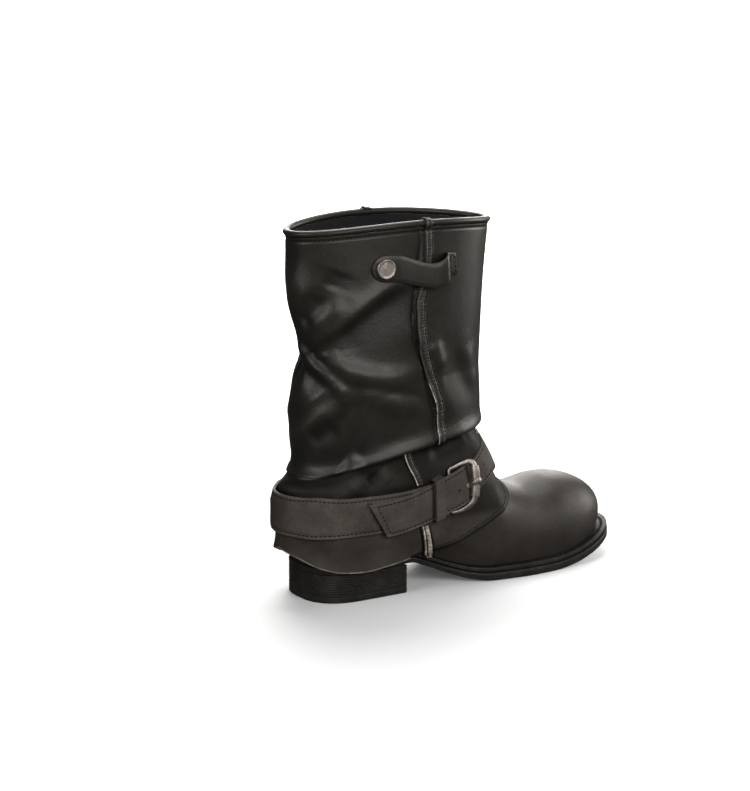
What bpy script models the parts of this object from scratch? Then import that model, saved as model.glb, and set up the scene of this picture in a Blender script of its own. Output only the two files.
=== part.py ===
"""Slouched mid-calf leather boot for the right foot, as separate closed solids.

Sizes and tables are in millimetres and MM turns them into metres.
+X points to the toe, +Y to the inner (medial) side and +Z up.
The origin is the centre of the heel's ground face.
Angles run about the upright line x = AXIS_X: 0 is the front, -90 the outer side, 90 the inner side.
"""
import math

import bmesh
import bpy
import numpy as np

MM = 0.001
GAP = 0.3
LAYER_GAP = 0.8
OUTER = -1
INNER = 1
WELD = 0.000002
SHARP_ANGLE = 40.0
RAY_LIMIT = 320.0
FIELD_FLOOR = -2000.0
ANGLE_STEP = 0.5
PATCH_STEP = 1.5

# Foot form
AXIS_X = 45.0
FAN_Z = -30.0
BALL_X = 150.0
TOE_X = 236.0
TOE_TUCK = 1.5
TOE_TOP_X = 185.0
TOE_POWER = 2.5
TOE_PROFILE_POWER = 2.2
HEEL_CENTRE_X = -4.0
HEEL_POWER = 2.6
TOE_BEND = 6.0
TOE_BEND_START = 60.0
TOE_BEND_LENGTH = 180.0
TOE_BEND_LIMIT = 1.3
LEG_START_Z = 120.0
LEG_FADE = 40.0

# Walls and layers
UPPER_WALL = 1.9
SHAFT_WALL = 2.0
SHAFT_EASE = 3.3
STRAP_THICKNESS = 2.2
WELT_SET_BACK = 0.5
WELT_INNER_REACH = -7.0
WELT_THICKNESS = 3.4
INSOLE_THICKNESS = 3.0
INSOLE_REACH = -3.9

# Heel
HEEL_HEIGHT = 21.9
TOP_LIFT_HEIGHT = 5.0
TOP_LIFT_EDGE = 0.8
HEEL_LIFTS = 6
HEEL_GROOVE = 0.7
HEEL_BREAST_X = 38.0
HEEL_HALF_WIDTH = 34.8
HEEL_BACK_X = -38.3

# Collar
RIM_Z = 275.8
RIM_SADDLE = 2.7
PIPING_WIDTH = 5.6
PIPING_HEIGHT = 5.2
PIPING_SIDES = 8

# Seam strips
SEAM_WIDTH = 4.6
SEAM_THICKNESS = 1.3
SEAM_LIFT = 1.0
SEAM_ANGLES = (5.0, 175.0)
SEAM_BANDS = (
    # name, lower end, upper end, rows
    ("hem", 28.0, 51.0, 5),
    ("ankle", 87.5, 110.0, 5),
    ("shaft", 125.5, 275.5, 17),
)

# Pull strap
PULL_FROM_ANGLE = -138.0
PULL_TO_ANGLE = -50.0
PULL_FROM_Z = 254.0
PULL_TO_Z = 248.5
PULL_HALF_WIDTH = 10.2
PULL_THICKNESS = 1.9
PULL_LIFT = 0.7
PULL_BOW = 7.2
PULL_COLUMNS = 17
PULL_SHAPE_COLUMNS = ("share", "width", "bow")
PULL_SHAPE = (
    (0, 0.2, 0), (0.015, 0.48, 0), (0.045, 0.78, 0), (0.09, 0.97, 0), (0.12, 1, 0),
    (0.24, 1, 0), (0.39, 1, 0.5), (0.54, 1, 1), (0.71, 1, 1), (0.82, 1, 0.5), (0.93, 1, 0), (1, 1, 0),
)
RIVET_ANGLE = -128.5
RIVET_DIAMETER = 15.0
RIVET_HEIGHT = 2.4
RIVET_SIDES = 24
# Shares of the rivet's height and radius
RIVET_PROFILE = ((0, 0.94), (0.2, 1), (0.75, 1), (1, 0.86))

# Mesh fineness
SHAFT_COLUMNS = 46
SHAFT_CROWDING = 0.5
UPPER_COLUMNS = 44
UPPER_CROWDING = 0.62
UPPER_ROWS = 11
SOLE_STATIONS = 34
SOLE_COLUMNS = 5
WELT_COLUMNS = 56
STRAP_COLUMNS = 58
STRAP_ROWS = 5
KEEPER_ROWS = 3
HEEL_ARC_POINTS = 18

LAST_COLUMNS = ("x", "outer", "inner", "tuck", "bulge", "section", "welt")
LAST = (
    (-60, 36.0, 34.5, 0.14, 19, 2.4, 3.8),
    (-4, 36.0, 34.5, 0.14, 19, 2.4, 3.8),
    (30, 37.5, 34.0, 0.18, 19, 2.4, 2.8),
    (65, 39.0, 33.5, 0.21, 19, 2.3, 2.4),
    (110, 44.0, 39.0, 0.09, 18, 2.05, 4.8),
    (150, 46.8, 43.0, 0.05, 17, 2.1, 5.8),
    (200, 46.0, 42.5, 0.05, 13, 2.2, 7.0),
    (240, 45.5, 42.0, 0.05, 11, 2.2, 9.4),
)

RIDGE_COLUMNS = ("x", "z")
RIDGE = (
    (-60, 190), (60, 172), (95, 140), (108, 116), (113.5, 104), (118, 92), (123, 80),
    (129.5, 72.5), (139, 67), (150, 63.6), (159, 62.4), (170, 63.8), (185, 66), (240, 66),
)

HEEL_PROFILE_COLUMNS = ("z", "x")
HEEL_PROFILE = ((10, -34), (31, -34.5), (45, -43), (60, -47), (72, -47), (88, -36), (110, -20), (150, -16))

SOLE_COLUMNS_NAMES = ("x", "bottom", "thickness")
SOLE = (
    (-60, 22.3, 4.4), (42, 22.3, 4.4), (57, 17.2, 4.4), (76, 9.0, 4.8), (96, 2.4, 5.6), (112, 0, 6.2),
    (165, 0, 6.2), (186, 1.6, 6.2), (206, 5.3, 6.2), (226, 10.3, 6.2), (250, 16.5, 6.2),
)

SHAFT_COLUMNS_NAMES = ("z", "back", "front", "outer", "inner", "widest")
SHAFT = (
    (15, -50, 70, 38, 36, 0),
    (40, -53, 80, 41, 38.5, 5),
    (68, -53, 94, 42, 39.5, 12),
    (86, -51.5, 106, 41.5, 39, 20),
    (97, -44, 114, 40.5, 38.5, 30),
    (106, -37.5, 117, 41, 39, 36),
    (125, -40, 118, 44, 41, 38),
    (160, -42, 118.5, 45, 42, 39),
    (195, -42, 120, 44.5, 42, 40),
    (230, -43.5, 122.5, 42.5, 41, 42),
    (285, -44.5, 127.5, 38.5, 38, 42),
)
SHAFT_POWER = 2.1
COVER_BLEND = 120.0
COVER_BLEND_TOP = 128.0
COVER_BLEND_FADE = 30.0

HEM_COLUMNS = ("angle", "z", "flare", "overlap")
HEM = (
    (0, 72, 0.4, 8), (8.4, 70, 0.4, 8), (17, 65.5, 0.4, 9), (25.6, 59, 0.6, 11), (32.4, 53, 0.6, 13),
    (41, 44.4, 0.8, 16), (52, 36.3, 1.0, 18), (73, 30.3, 1.2, 20), (97, 27.5, 1.4, 22), (126, 25.4, 1.6, 24),
    (141, 24, 1.6, 26), (152, 25.4, 2.0, 26), (160, 29.3, 2.4, 25), (170, 37, 2.0, 22), (180, 41, 1.6, 20),
)
HEM_FLARE_HEIGHT = 14.0

FOLD_LINE_COLUMNS = ("x", "z", "depth")
FOLD_LINE = (
    (-60, 101, 0.2), (-37, 102.5, 0.4), (-14, 105, 0.9), (2, 107.5, 1), (27, 112.5, 1),
    (51, 116.5, 1), (92, 121, 0.8), (125, 120, 0.4),
)
FOLD_PROFILE_COLUMNS = ("above", "out")
FOLD_PROFILE = ((-34, 0), (-18, -1.6), (-5, -2.6), (0, 1.6), (5, 4.6), (13, 4.2), (26, 1.6), (44, 0))

# Height above the fold line and rows of mesh up to it
SHAFT_STAGES = ((-13, 6), (-4, 1), (5, 3), (14, 1))
SHAFT_TOP_ROWS = 12
SHAFT_FOLD_PROBE = 115.0

# side, start x and z, end x and z, height, width
CREASES = (
    # Outer side
    (OUTER, -34, 158, 62, 170, 3.0, 11),
    (OUTER, -8, 137, 60, 146, -4.0, 12),
    (OUTER, -36, 191, 34, 228, 3.2, 10),
    (OUTER, -34, 205, 14, 236, -3.4, 10),
    (OUTER, -42, 168, 0, 152, 2.4, 8),
    (OUTER, -30, 176, -2, 160, -2.8, 8),
    (OUTER, -4, 140, -36, 118, 2.6, 10),
    (OUTER, 88, 150, 100, 124, 2.2, 9),
    # Inner side
    (INNER, -30, 150, 70, 160, 3.0, 12),
    (INNER, -20, 132, 66, 140, -3.6, 12),
    (INNER, -34, 196, 40, 222, 3.0, 11),
    (INNER, -34, 210, 30, 240, -2.8, 11),
    (INNER, 84, 170, 104, 140, 2.0, 10),
    # Across the back edge
    (0, -46, 188, -30, 188, -9.5, 11),
    (0, -46, 128, -36, 128, 1.8, 14),
)
CREASE_EDGE_FADE = 14.0

STRAP_COLUMNS_NAMES = ("angle", "z", "half", "lift")
STRAP = (
    (-500, 63.0, 13.2, 3.4), (-475, 65.0, 13.6, 3.4), (-440, 70.5, 13.8, 3.4), (-426, 74.0, 14.0, 3.5),
    (-418, 76.0, 14.0, 3.7), (-410, 78.6, 14.0, 3.4), (-401, 82.0, 14.0, 2.8), (-390, 88.0, 14.6, 1.7),
    (-376, 95.0, 15.6, 1.5), (-360, 98.0, 16.4, 1.5), (-335, 93.0, 15.4, 1.5), (-305, 81.0, 14.4, 1.1),
    (-270, 72.0, 14.4, 1.0), (-225, 68.5, 14.4, 1.1), (-180, 68.0, 15.0, 1.2), (-137, 67.8, 14.4, 1.1),
    (-115, 68.0, 14.2, 0.9), (-90, 69.2, 14.0, 0.9), (-60, 72.6, 13.6, 0.9),
)
STRAP_TAIL_ANGLE = -494.0
STRAP_TAIL_SLANT = 5.6
STRAP_TAIL_FADE = 6.0
STRAP_START_ANGLE = -60.6

KEEPER_FROM = -439.0
KEEPER_TO = -427.0
KEEPER_THICKNESS = 1.6
KEEPER_COLUMNS = ("across", "lift")
KEEPER = (
    (-1.2, 0.8), (-1.16, 1.2), (-1.12, 4.6), (-1.05, 6.5), (0, 6.6),
    (1.05, 6.5), (1.12, 4.6), (1.16, 1.2), (1.2, 0.8),
)

BUCKLE_COLUMNS = ("angle", "across", "lift", "width", "thickness")
BUCKLE = (
    (-418.4, -16.8, 2.1, 2.2, 2.0), (-418.4, 0, 2.1, 2.0, 2.0), (-418.4, 16.8, 2.1, 2.2, 2.0),
    (-416.6, 17.8, 2.5, 3.2, 2.4), (-411.0, 18.2, 4.4, 4.2, 3.0), (-406.2, 17.8, 6.2, 4.6, 3.2),
    (-403.4, 14.8, 7.4, 5.2, 3.2), (-402.8, 0, 7.8, 5.4, 3.2), (-403.4, -14.8, 7.4, 5.2, 3.2),
    (-406.2, -17.8, 6.2, 4.6, 3.2), (-411.0, -18.2, 4.4, 4.2, 3.0), (-416.6, -17.8, 2.5, 3.2, 2.4),
)
PRONG_COLUMNS = ("angle", "across", "lift", "width", "thickness")
PRONG = (
    (-411.0, -0.5, 6.9, 3.0, 1.6), (-408.0, -0.5, 8.6, 3.2, 1.6), (-405.6, -0.5, 10.5, 3.4, 1.6),
    (-402.8, -0.5, 10.7, 3.4, 1.6), (-400.2, -0.5, 10.3, 2.8, 1.6),
)

SEAM_COLUMNS = ("z", "x")
OUTER_SEAM = (
    (24, 57.5), (53, 48.8), (84, 41.2), (112, 31), (121, 55), (132, 57.2), (144, 57.1), (159, 53.3),
    (176, 47.4), (192, 43.7), (210, 41), (224, 40.9), (236, 43.5), (258, 49.5), (285, 47),
)
INNER_SEAM = (
    (24, 52), (53, 48), (84, 44), (112, 40), (121, 50), (144, 52), (176, 48), (210, 44), (258, 46), (285, 46),
)

COLOURS = {
    "leather": ((0.030, 0.027, 0.024), 0.42, 0.0),
    "vamp": ((0.040, 0.035, 0.031), 0.55, 0.0),
    "strap": ((0.036, 0.032, 0.029), 0.5, 0.0),
    "seam": ((0.045, 0.038, 0.034), 0.4, 0.0),
    "sole": ((0.012, 0.012, 0.012), 0.6, 0.0),
    "insole": ((0.02, 0.02, 0.024), 0.8, 0.0),
    "metal": ((0.40, 0.37, 0.36), 0.35, 1.0),
}


def column(table, names, name):
    """One named column of a table as an array."""
    return np.array([row[names.index(name)] for row in table], dtype=float)


def smooth_curve(table, names, name):
    """Smooth function of the first column that passes through every row and never overshoots."""
    x = column(table, names, names[0])
    y = column(table, names, name)
    step = np.diff(x)
    rise = np.diff(y) / step
    slope = np.zeros_like(y)
    slope[0], slope[-1] = rise[0], rise[-1]
    for i in range(1, len(x) - 1):
        if rise[i - 1] * rise[i] > 0:
            before = step[i - 1] + 2 * step[i]
            after = 2 * step[i - 1] + step[i]
            slope[i] = (before + after) / (before / rise[i - 1] + after / rise[i])

    def curve(value):
        value = np.clip(np.asarray(value, dtype=float), x[0], x[-1])
        i = np.clip(np.searchsorted(x, value, side="right") - 1, 0, len(x) - 2)
        t = (value - x[i]) / step[i]
        start = (1 + 2 * t) * (1 - t) ** 2 * y[i] + t * (1 - t) ** 2 * step[i] * slope[i]
        end = t * t * (3 - 2 * t) * y[i + 1] + t * t * (t - 1) * step[i] * slope[i + 1]
        return start + end

    return curve


last_outer = smooth_curve(LAST, LAST_COLUMNS, "outer")
last_inner = smooth_curve(LAST, LAST_COLUMNS, "inner")
last_tuck = smooth_curve(LAST, LAST_COLUMNS, "tuck")
last_bulge = smooth_curve(LAST, LAST_COLUMNS, "bulge")
last_section = smooth_curve(LAST, LAST_COLUMNS, "section")
welt_reach = smooth_curve(LAST, LAST_COLUMNS, "welt")
ridge_line = smooth_curve(RIDGE, RIDGE_COLUMNS, "z")
heel_profile = smooth_curve(HEEL_PROFILE, HEEL_PROFILE_COLUMNS, "x")
sole_bottom = smooth_curve(SOLE, SOLE_COLUMNS_NAMES, "bottom")
sole_thickness = smooth_curve(SOLE, SOLE_COLUMNS_NAMES, "thickness")
shaft_back = smooth_curve(SHAFT, SHAFT_COLUMNS_NAMES, "back")
shaft_front = smooth_curve(SHAFT, SHAFT_COLUMNS_NAMES, "front")
shaft_outer = smooth_curve(SHAFT, SHAFT_COLUMNS_NAMES, "outer")
shaft_inner = smooth_curve(SHAFT, SHAFT_COLUMNS_NAMES, "inner")
shaft_widest = smooth_curve(SHAFT, SHAFT_COLUMNS_NAMES, "widest")
hem_height = smooth_curve(HEM, HEM_COLUMNS, "z")
hem_flare = smooth_curve(HEM, HEM_COLUMNS, "flare")
hem_overlap = smooth_curve(HEM, HEM_COLUMNS, "overlap")
fold_height = smooth_curve(FOLD_LINE, FOLD_LINE_COLUMNS, "z")
fold_depth = smooth_curve(FOLD_LINE, FOLD_LINE_COLUMNS, "depth")
fold_out = smooth_curve(FOLD_PROFILE, FOLD_PROFILE_COLUMNS, "out")
pull_width = smooth_curve(PULL_SHAPE, PULL_SHAPE_COLUMNS, "width")
pull_bow = smooth_curve(PULL_SHAPE, PULL_SHAPE_COLUMNS, "bow")
strap_z = smooth_curve(STRAP, STRAP_COLUMNS_NAMES, "z")
strap_half = smooth_curve(STRAP, STRAP_COLUMNS_NAMES, "half")
strap_lift = smooth_curve(STRAP, STRAP_COLUMNS_NAMES, "lift")


def signed_power(value, power):
    """Power that keeps the sign of its base."""
    return np.sign(value) * np.abs(value) ** power


def ramp(value):
    """Smooth step from 0 at 0 to 1 at 1."""
    t = np.clip(value, 0, 1)
    return t * t * (3 - 2 * t)


def centre_y(x):
    """Centre line of the foot, which bends inwards towards the toe."""
    return TOE_BEND * np.clip((x - TOE_BEND_START) / TOE_BEND_LENGTH, 0, TOE_BEND_LIMIT) ** 2


def outsole_top(x):
    return sole_bottom(x) + sole_thickness(x)


def feather_height(x):
    """Lower edge of the upper, just above the welt."""
    return outsole_top(x) + LAYER_GAP + WELT_THICKNESS + LAYER_GAP


def foot_field(x, z, side, grow):
    """Squared half width of the foot form at (x, z), below zero outside its side outline."""
    feather = feather_height(x)
    bulge = last_bulge(x)
    tuck = np.clip((feather + bulge - z) / bulge, 0, 1) ** 2
    half = np.where(side < 0, last_outer(x), last_inner(x)) * (1 - last_tuck(x) * tuck) + grow
    toe = TOE_X - TOE_TUCK * tuck + grow
    heel = heel_profile(z) - grow
    forward = np.clip((x - BALL_X) / (toe - BALL_X), 0, None)
    backward = np.clip((HEEL_CENTRE_X - x) / (HEEL_CENTRE_X - heel), 0, None)
    plan = np.minimum(
        signed_power(1 - forward ** TOE_POWER, 2 / TOE_POWER),
        signed_power(1 - backward ** HEEL_POWER, 2 / HEEL_POWER),
    )
    widest = feather + bulge
    slope = (ridge_line(x + 1) - ridge_line(x - 1)) / 2
    top = ridge_line(x) + grow * np.sqrt(1 + slope * slope)
    past_top = np.clip((x - TOE_TOP_X) / (TOE_X + grow - TOE_TOP_X), 0, None)
    top = widest + (top - widest) * signed_power(1 - past_top ** TOE_PROFILE_POWER, 1 / TOE_PROFILE_POWER)
    share = np.clip(z - widest, 0, None) / np.maximum(top - widest, 1)
    power = last_section(x)
    section = signed_power(1 - share ** power, 2 / power)
    inside = (plan > 0) & (section > 0)
    return half * half * np.where(inside, plan * section, np.minimum(plan, section))


def shaft_field(x, z, side):
    """Squared half width of the shaft's oval at (x, z), below zero outside it."""
    middle = shaft_widest(z)
    length = np.where(x < middle, middle - shaft_back(z), shaft_front(z) - middle)
    half = np.where(side < 0, shaft_outer(z), shaft_inner(z))
    return half * half * signed_power(1 - (np.abs(x - middle) / length) ** SHAFT_POWER, 2 / SHAFT_POWER)


def cover_field(x, z, side):
    """Squared half width of the shaft's outer face, which wraps the foot below and the leg above."""
    foot = np.maximum(foot_field(x, z, side, SHAFT_EASE), FIELD_FLOOR)
    shaft = np.maximum(shaft_field(x, z, side), FIELD_FLOOR)
    blend = COVER_BLEND * ramp((COVER_BLEND_TOP - z) / COVER_BLEND_FADE)
    return (foot + shaft + np.sqrt((foot - shaft) ** 2 + blend * blend)) / 2


def solve(inside, shape, low=1.0, high=RAY_LIMIT):
    """Distance along each ray at which a test turns from inside to outside."""
    near = np.full(shape, float(low))
    far = np.full(shape, float(high))
    for _ in range(40):
        middle = (near + far) / 2
        held = inside(middle)
        near = np.where(held, middle, near)
        far = np.where(held, far, middle)
    return near


def crease_height(x, y, z):
    """How far the placed creases push the shaft's leather out or in."""
    total = np.zeros_like(x)
    fade = ramp(np.abs(y) / CREASE_EDGE_FADE)
    for side, x0, z0, x1, z1, height, width in CREASES:
        run_x, run_z = x1 - x0, z1 - z0
        along = np.clip(((x - x0) * run_x + (z - z0) * run_z) / (run_x ** 2 + run_z ** 2), 0, 1)
        distance = np.hypot(x - x0 - along * run_x, z - z0 - along * run_z)
        swell = height * np.exp(-(distance / width) ** 2)
        total += swell * (1 if side == 0 else np.where(y * side > 0, fade, 0))
    return total


def shaft_base(angle, z):
    """Point of the shaft's outer face without folds."""
    angle, z = np.broadcast_arrays(np.asarray(angle, dtype=float), np.asarray(z, dtype=float))
    turn = np.radians(angle)
    cos, sin = np.cos(turn), np.sin(turn)

    def inside(reach):
        x = AXIS_X + reach * cos
        y = reach * sin - centre_y(x) * ramp((LEG_START_Z - z) / LEG_FADE)
        return cover_field(x, z, np.where(y < 0, OUTER, INNER)) > y * y

    reach = solve(inside, angle.shape)
    return np.stack([AXIS_X + reach * cos, reach * sin, z], axis=-1)


def shaft_point(angle, z):
    """Point of the shaft's outer face with its slouch fold, creases and flared hem."""
    base = shaft_base(angle, z)
    ahead = shaft_base(np.asarray(angle) + ANGLE_STEP, z)
    behind = shaft_base(np.asarray(angle) - ANGLE_STEP, z)
    along = ahead - behind
    outward = np.stack([along[..., 1], -along[..., 0], np.zeros_like(along[..., 0])], axis=-1)
    outward /= np.linalg.norm(outward, axis=-1, keepdims=True)
    x, y, height = base[..., 0], base[..., 1], base[..., 2]
    turn = np.abs((np.asarray(angle) + 180) % 360 - 180)
    out = fold_depth(x) * fold_out(height - fold_height(x))
    out = out + crease_height(x, y, height)
    out = out + hem_flare(turn) * np.clip(1 - (height - hem_height(turn)) / HEM_FLARE_HEIGHT, 0, 1) ** 2
    return base + outward * out[..., None]


def shaft_offset(angle, z, lift):
    """Point that stands a given height off the shaft's outer face."""
    angle, z, lift = np.broadcast_arrays(
        np.asarray(angle, dtype=float), np.asarray(z, dtype=float), np.asarray(lift, dtype=float)
    )
    across = shaft_point(angle + PATCH_STEP, z) - shaft_point(angle - PATCH_STEP, z)
    upward = shaft_point(angle, z + PATCH_STEP) - shaft_point(angle, z - PATCH_STEP)
    normal = np.cross(across, upward)
    normal /= np.linalg.norm(normal, axis=-1, keepdims=True)
    return shaft_point(angle, z) + normal * lift[..., None]


def foot_point(angle, tilt):
    """Point of the upper's outer face on the ray from the fan point at two angles in radians."""
    ray = np.stack([np.cos(angle) * np.cos(tilt), np.sin(angle) * np.cos(tilt), np.sin(tilt)], axis=-1)
    origin = np.array([AXIS_X, 0, FAN_Z])

    def inside(reach):
        point = origin + ray * reach[..., None]
        y = point[..., 1] - centre_y(point[..., 0])
        return foot_field(point[..., 0], point[..., 2], np.where(y < 0, OUTER, INNER), 0) > y * y

    return origin + ray * solve(inside, angle.shape)[..., None]


def foot_ring(angle, height):
    """Ring of the foot form where it has the height that a function of x and the angle gives."""
    cos, sin = np.cos(angle), np.sin(angle)

    def inside(reach):
        x = AXIS_X + reach * cos
        y = reach * sin - centre_y(x)
        return foot_field(x, height(x), np.where(y < 0, OUTER, INNER), 0) > y * y

    reach = solve(inside, angle.shape)
    x = AXIS_X + reach * cos
    return np.stack([x, reach * sin, height(x)], axis=-1)


def outline_ends(reach):
    """Rearmost and foremost x of the sole's outline, a given reach outside the upper's lower edge."""
    back = heel_profile(feather_height(HEEL_CENTRE_X))
    front = TOE_X - TOE_TUCK
    return back - reach(back), front + reach(front)


def outline_half(x, side, reach):
    """Half width of that outline."""
    field = foot_field(x, feather_height(x), np.full_like(x, side), reach(x))
    start, stop = outline_ends(reach)
    return np.where((x > start) & (x < stop), np.sqrt(np.clip(field, 0, None)), 0)


def welt_outer_reach(x):
    return welt_reach(x) - WELT_SET_BACK


def welt_inner_reach(x):
    return np.full_like(x, WELT_INNER_REACH)


def insole_reach(x):
    return np.full_like(x, INSOLE_REACH)


def end_spaced(start, stop, count):
    """Values from start to stop that crowd towards both ends."""
    return start + (stop - start) * (1 - np.cos(np.linspace(0, math.pi, count))) / 2


def make_material(name):
    colour, roughness, metallic = COLOURS[name]
    material = bpy.data.materials.new(name)
    material.use_nodes = True
    shader = material.node_tree.nodes["Principled BSDF"]
    shader.inputs["Base Color"].default_value = (*colour, 1)
    shader.inputs["Roughness"].default_value = roughness
    shader.inputs["Metallic"].default_value = metallic
    return material


def grid_mesh(points, close_columns=False, close_rows=False):
    """Quad mesh over a grid of points, in rows that run up and columns that run anticlockwise."""
    if close_columns:
        points = np.concatenate([points, points[:, :1]], axis=1)
    if close_rows:
        points = np.concatenate([points, points[:1]], axis=0)
    rows, columns = points.shape[:2]
    mesh = bmesh.new()
    bmesh.ops.create_grid(mesh, x_segments=columns - 1, y_segments=rows - 1, size=1)
    for vertex, point in zip(mesh.verts, points.reshape(-1, 3)):
        vertex.co = point * MM
    bmesh.ops.remove_doubles(mesh, verts=mesh.verts, dist=WELD)
    return mesh


def add_solid(name, mesh, material, parts, wall=0.0, offset=-1.0):
    """Object made from a mesh, thickened into a wall where a thickness is given."""
    data = bpy.data.meshes.new(name)
    mesh.to_mesh(data)
    mesh.free()
    data.shade_smooth()
    data.set_sharp_from_angle(angle=math.radians(SHARP_ANGLE))
    data.materials.append(bpy.data.materials[material])
    solid = bpy.data.objects.new(name, data)
    parts.objects.link(solid)
    if wall:
        shell = solid.modifiers.new("wall", "SOLIDIFY")
        shell.thickness = wall * MM
        shell.offset = offset
    return solid


def slab_mesh(reach, bottom, top):
    """Plate with the sole's outline between two height functions of x."""
    start, stop = outline_ends(reach)
    x = end_spaced(start, stop, SOLE_STATIONS)
    outer = outline_half(x, OUTER, reach)
    inner = outline_half(x, INNER, reach)
    share = np.linspace(0, 1, SOLE_COLUMNS)[:, None]
    y = centre_y(x) - outer + share * (outer + inner)
    low = np.stack([np.broadcast_to(x, y.shape), y, np.broadcast_to(bottom(x), y.shape)], axis=-1)
    mesh = grid_mesh(low)
    raised = bmesh.ops.extrude_face_region(mesh, geom=mesh.faces[:])
    for vertex in (item for item in raised["geom"] if isinstance(item, bmesh.types.BMVert)):
        vertex.co.z = float(top(vertex.co.x / MM)) * MM
    bmesh.ops.recalc_face_normals(mesh, faces=mesh.faces)
    return mesh


def build_outsole(parts):
    add_solid("outsole", slab_mesh(welt_reach, sole_bottom, outsole_top), "sole", parts)


def build_insole(parts):
    def bottom(x):
        return feather_height(x) + GAP

    def top(x):
        return bottom(x) + INSOLE_THICKNESS

    add_solid("insole", slab_mesh(insole_reach, bottom, top), "insole", parts)


def outline_loop(reach, count):
    """Closed loop of (x, y) round the sole's outline, anticlockwise from the heel."""
    start, stop = outline_ends(reach)
    x = end_spaced(start, stop, count // 2 + 1)
    outer = np.stack([x, centre_y(x) - outline_half(x, OUTER, reach)], axis=-1)
    inner = np.stack([x, centre_y(x) + outline_half(x, INNER, reach)], axis=-1)
    return np.concatenate([outer, inner[-2:0:-1]])


def build_welt(parts):
    """Strip between outsole and upper, with its edge just outside the upper."""
    outside = outline_loop(welt_outer_reach, WELT_COLUMNS)
    inside = outline_loop(welt_inner_reach, WELT_COLUMNS)
    low, high = LAYER_GAP, LAYER_GAP + WELT_THICKNESS
    corners = ((inside, low), (outside, low), (outside, high), (inside, high))
    rows = [np.column_stack([loop, outsole_top(loop[:, 0]) + rise]) for loop, rise in corners]
    add_solid("welt", grid_mesh(np.array(rows), close_columns=True, close_rows=True), "sole", parts)


def heel_loop(inset):
    """Outline of the heel, anticlockwise: round at the back, straight along the sides and breast."""
    turn = np.linspace(-math.pi / 2, -3 * math.pi / 2, HEEL_ARC_POINTS)[::-1]
    half = HEEL_HALF_WIDTH - inset
    reach = -HEEL_BACK_X - inset
    arc_x = reach * signed_power(np.cos(turn), 2 / HEEL_POWER)
    arc_y = half * signed_power(np.sin(turn), 2 / HEEL_POWER)
    breast = HEEL_BREAST_X - inset
    front = np.array([(breast, -half), (breast, half)])
    return np.concatenate([front, np.column_stack([arc_x, arc_y])])


def stack_mesh(levels):
    """Closed heel block through (height, inset) levels from the bottom up."""
    rows = []
    for height, inset in levels:
        loop = heel_loop(inset)
        rows.append(np.column_stack([loop, np.full(len(loop), height)]))
    mesh = grid_mesh(np.array(rows), close_columns=True)
    bmesh.ops.holes_fill(mesh, edges=[edge for edge in mesh.edges if edge.is_boundary], sides=0)
    bmesh.ops.recalc_face_normals(mesh, faces=mesh.faces)
    return mesh


def build_heel(parts):
    """Stacked lifts with a groove between each two, on a smooth top lift."""
    bottom = TOP_LIFT_HEIGHT + GAP
    lift = (HEEL_HEIGHT - bottom) / HEEL_LIFTS
    levels = [(bottom, 0)]
    for joint in range(1, HEEL_LIFTS):
        middle = bottom + joint * lift
        levels += [(middle - HEEL_GROOVE / 2, 0), (middle, HEEL_GROOVE), (middle + HEEL_GROOVE / 2, 0)]
    levels.append((HEEL_HEIGHT, 0))
    add_solid("heel", stack_mesh(levels), "sole", parts)
    levels = [(0, TOP_LIFT_EDGE), (TOP_LIFT_EDGE, 0), (TOP_LIFT_HEIGHT, 0)]
    add_solid("heel_top_lift", stack_mesh(levels), "sole", parts)


def throat_height(angle):
    """Top edge of the upper, hidden inside the shaft."""
    turn = np.abs((np.degrees(angle) + 180) % 360 - 180)
    return hem_height(turn) + hem_overlap(turn)


def build_upper(parts):
    """Vamp and counter: one hollow wall from the welt to its throat inside the shaft."""
    turn = np.linspace(-math.pi, math.pi, UPPER_COLUMNS, endpoint=False)
    angle = np.arctan2(UPPER_CROWDING * np.sin(turn), np.cos(turn))
    low = foot_ring(angle, feather_height)
    high = foot_ring(angle, lambda x: throat_height(angle))
    origin = np.array([AXIS_X, 0, FAN_Z])

    def tilt(ring):
        away = ring - origin
        return np.arctan2(away[:, 2], np.hypot(away[:, 0], away[:, 1]))

    share = np.linspace(0, 1, UPPER_ROWS)[:, None]
    tilts = tilt(low) + share * (tilt(high) - tilt(low))
    points = foot_point(np.broadcast_to(angle, tilts.shape), tilts)
    points[0], points[-1] = low, high
    add_solid("upper", grid_mesh(points, close_columns=True), "vamp", parts, UPPER_WALL)


def rim_height(turn):
    """Top edge of the shaft, a little higher at its sides than at its ends."""
    return RIM_Z - RIM_SADDLE * np.cos(2 * turn)


def shaft_rings():
    """Angles of the shaft's columns in degrees and the heights of its rows."""
    turn = np.linspace(-math.pi, math.pi, SHAFT_COLUMNS, endpoint=False)
    angle = np.degrees(np.arctan2(SHAFT_CROWDING * np.sin(turn), np.cos(turn)))
    hem = hem_height(np.abs(angle))
    fold = fold_height(shaft_base(angle, np.full_like(angle, SHAFT_FOLD_PROBE))[:, 0])
    levels = [(fold + above, rows) for above, rows in SHAFT_STAGES]
    levels.append((rim_height(turn), SHAFT_TOP_ROWS))
    heights = [hem]
    for top, rows in levels:
        start = heights[-1]
        heights += [start + (top - start) * step / rows for step in range(1, rows + 1)]
    return angle, np.array(heights)


def build_shaft(parts):
    """Loose leather cover from its free hem over the foot up to the collar, with its slouch folds."""
    angle, heights = shaft_rings()
    points = shaft_point(np.broadcast_to(angle, heights.shape), heights)
    add_solid("shaft", grid_mesh(points, close_columns=True), "leather", parts, SHAFT_WALL)


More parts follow.
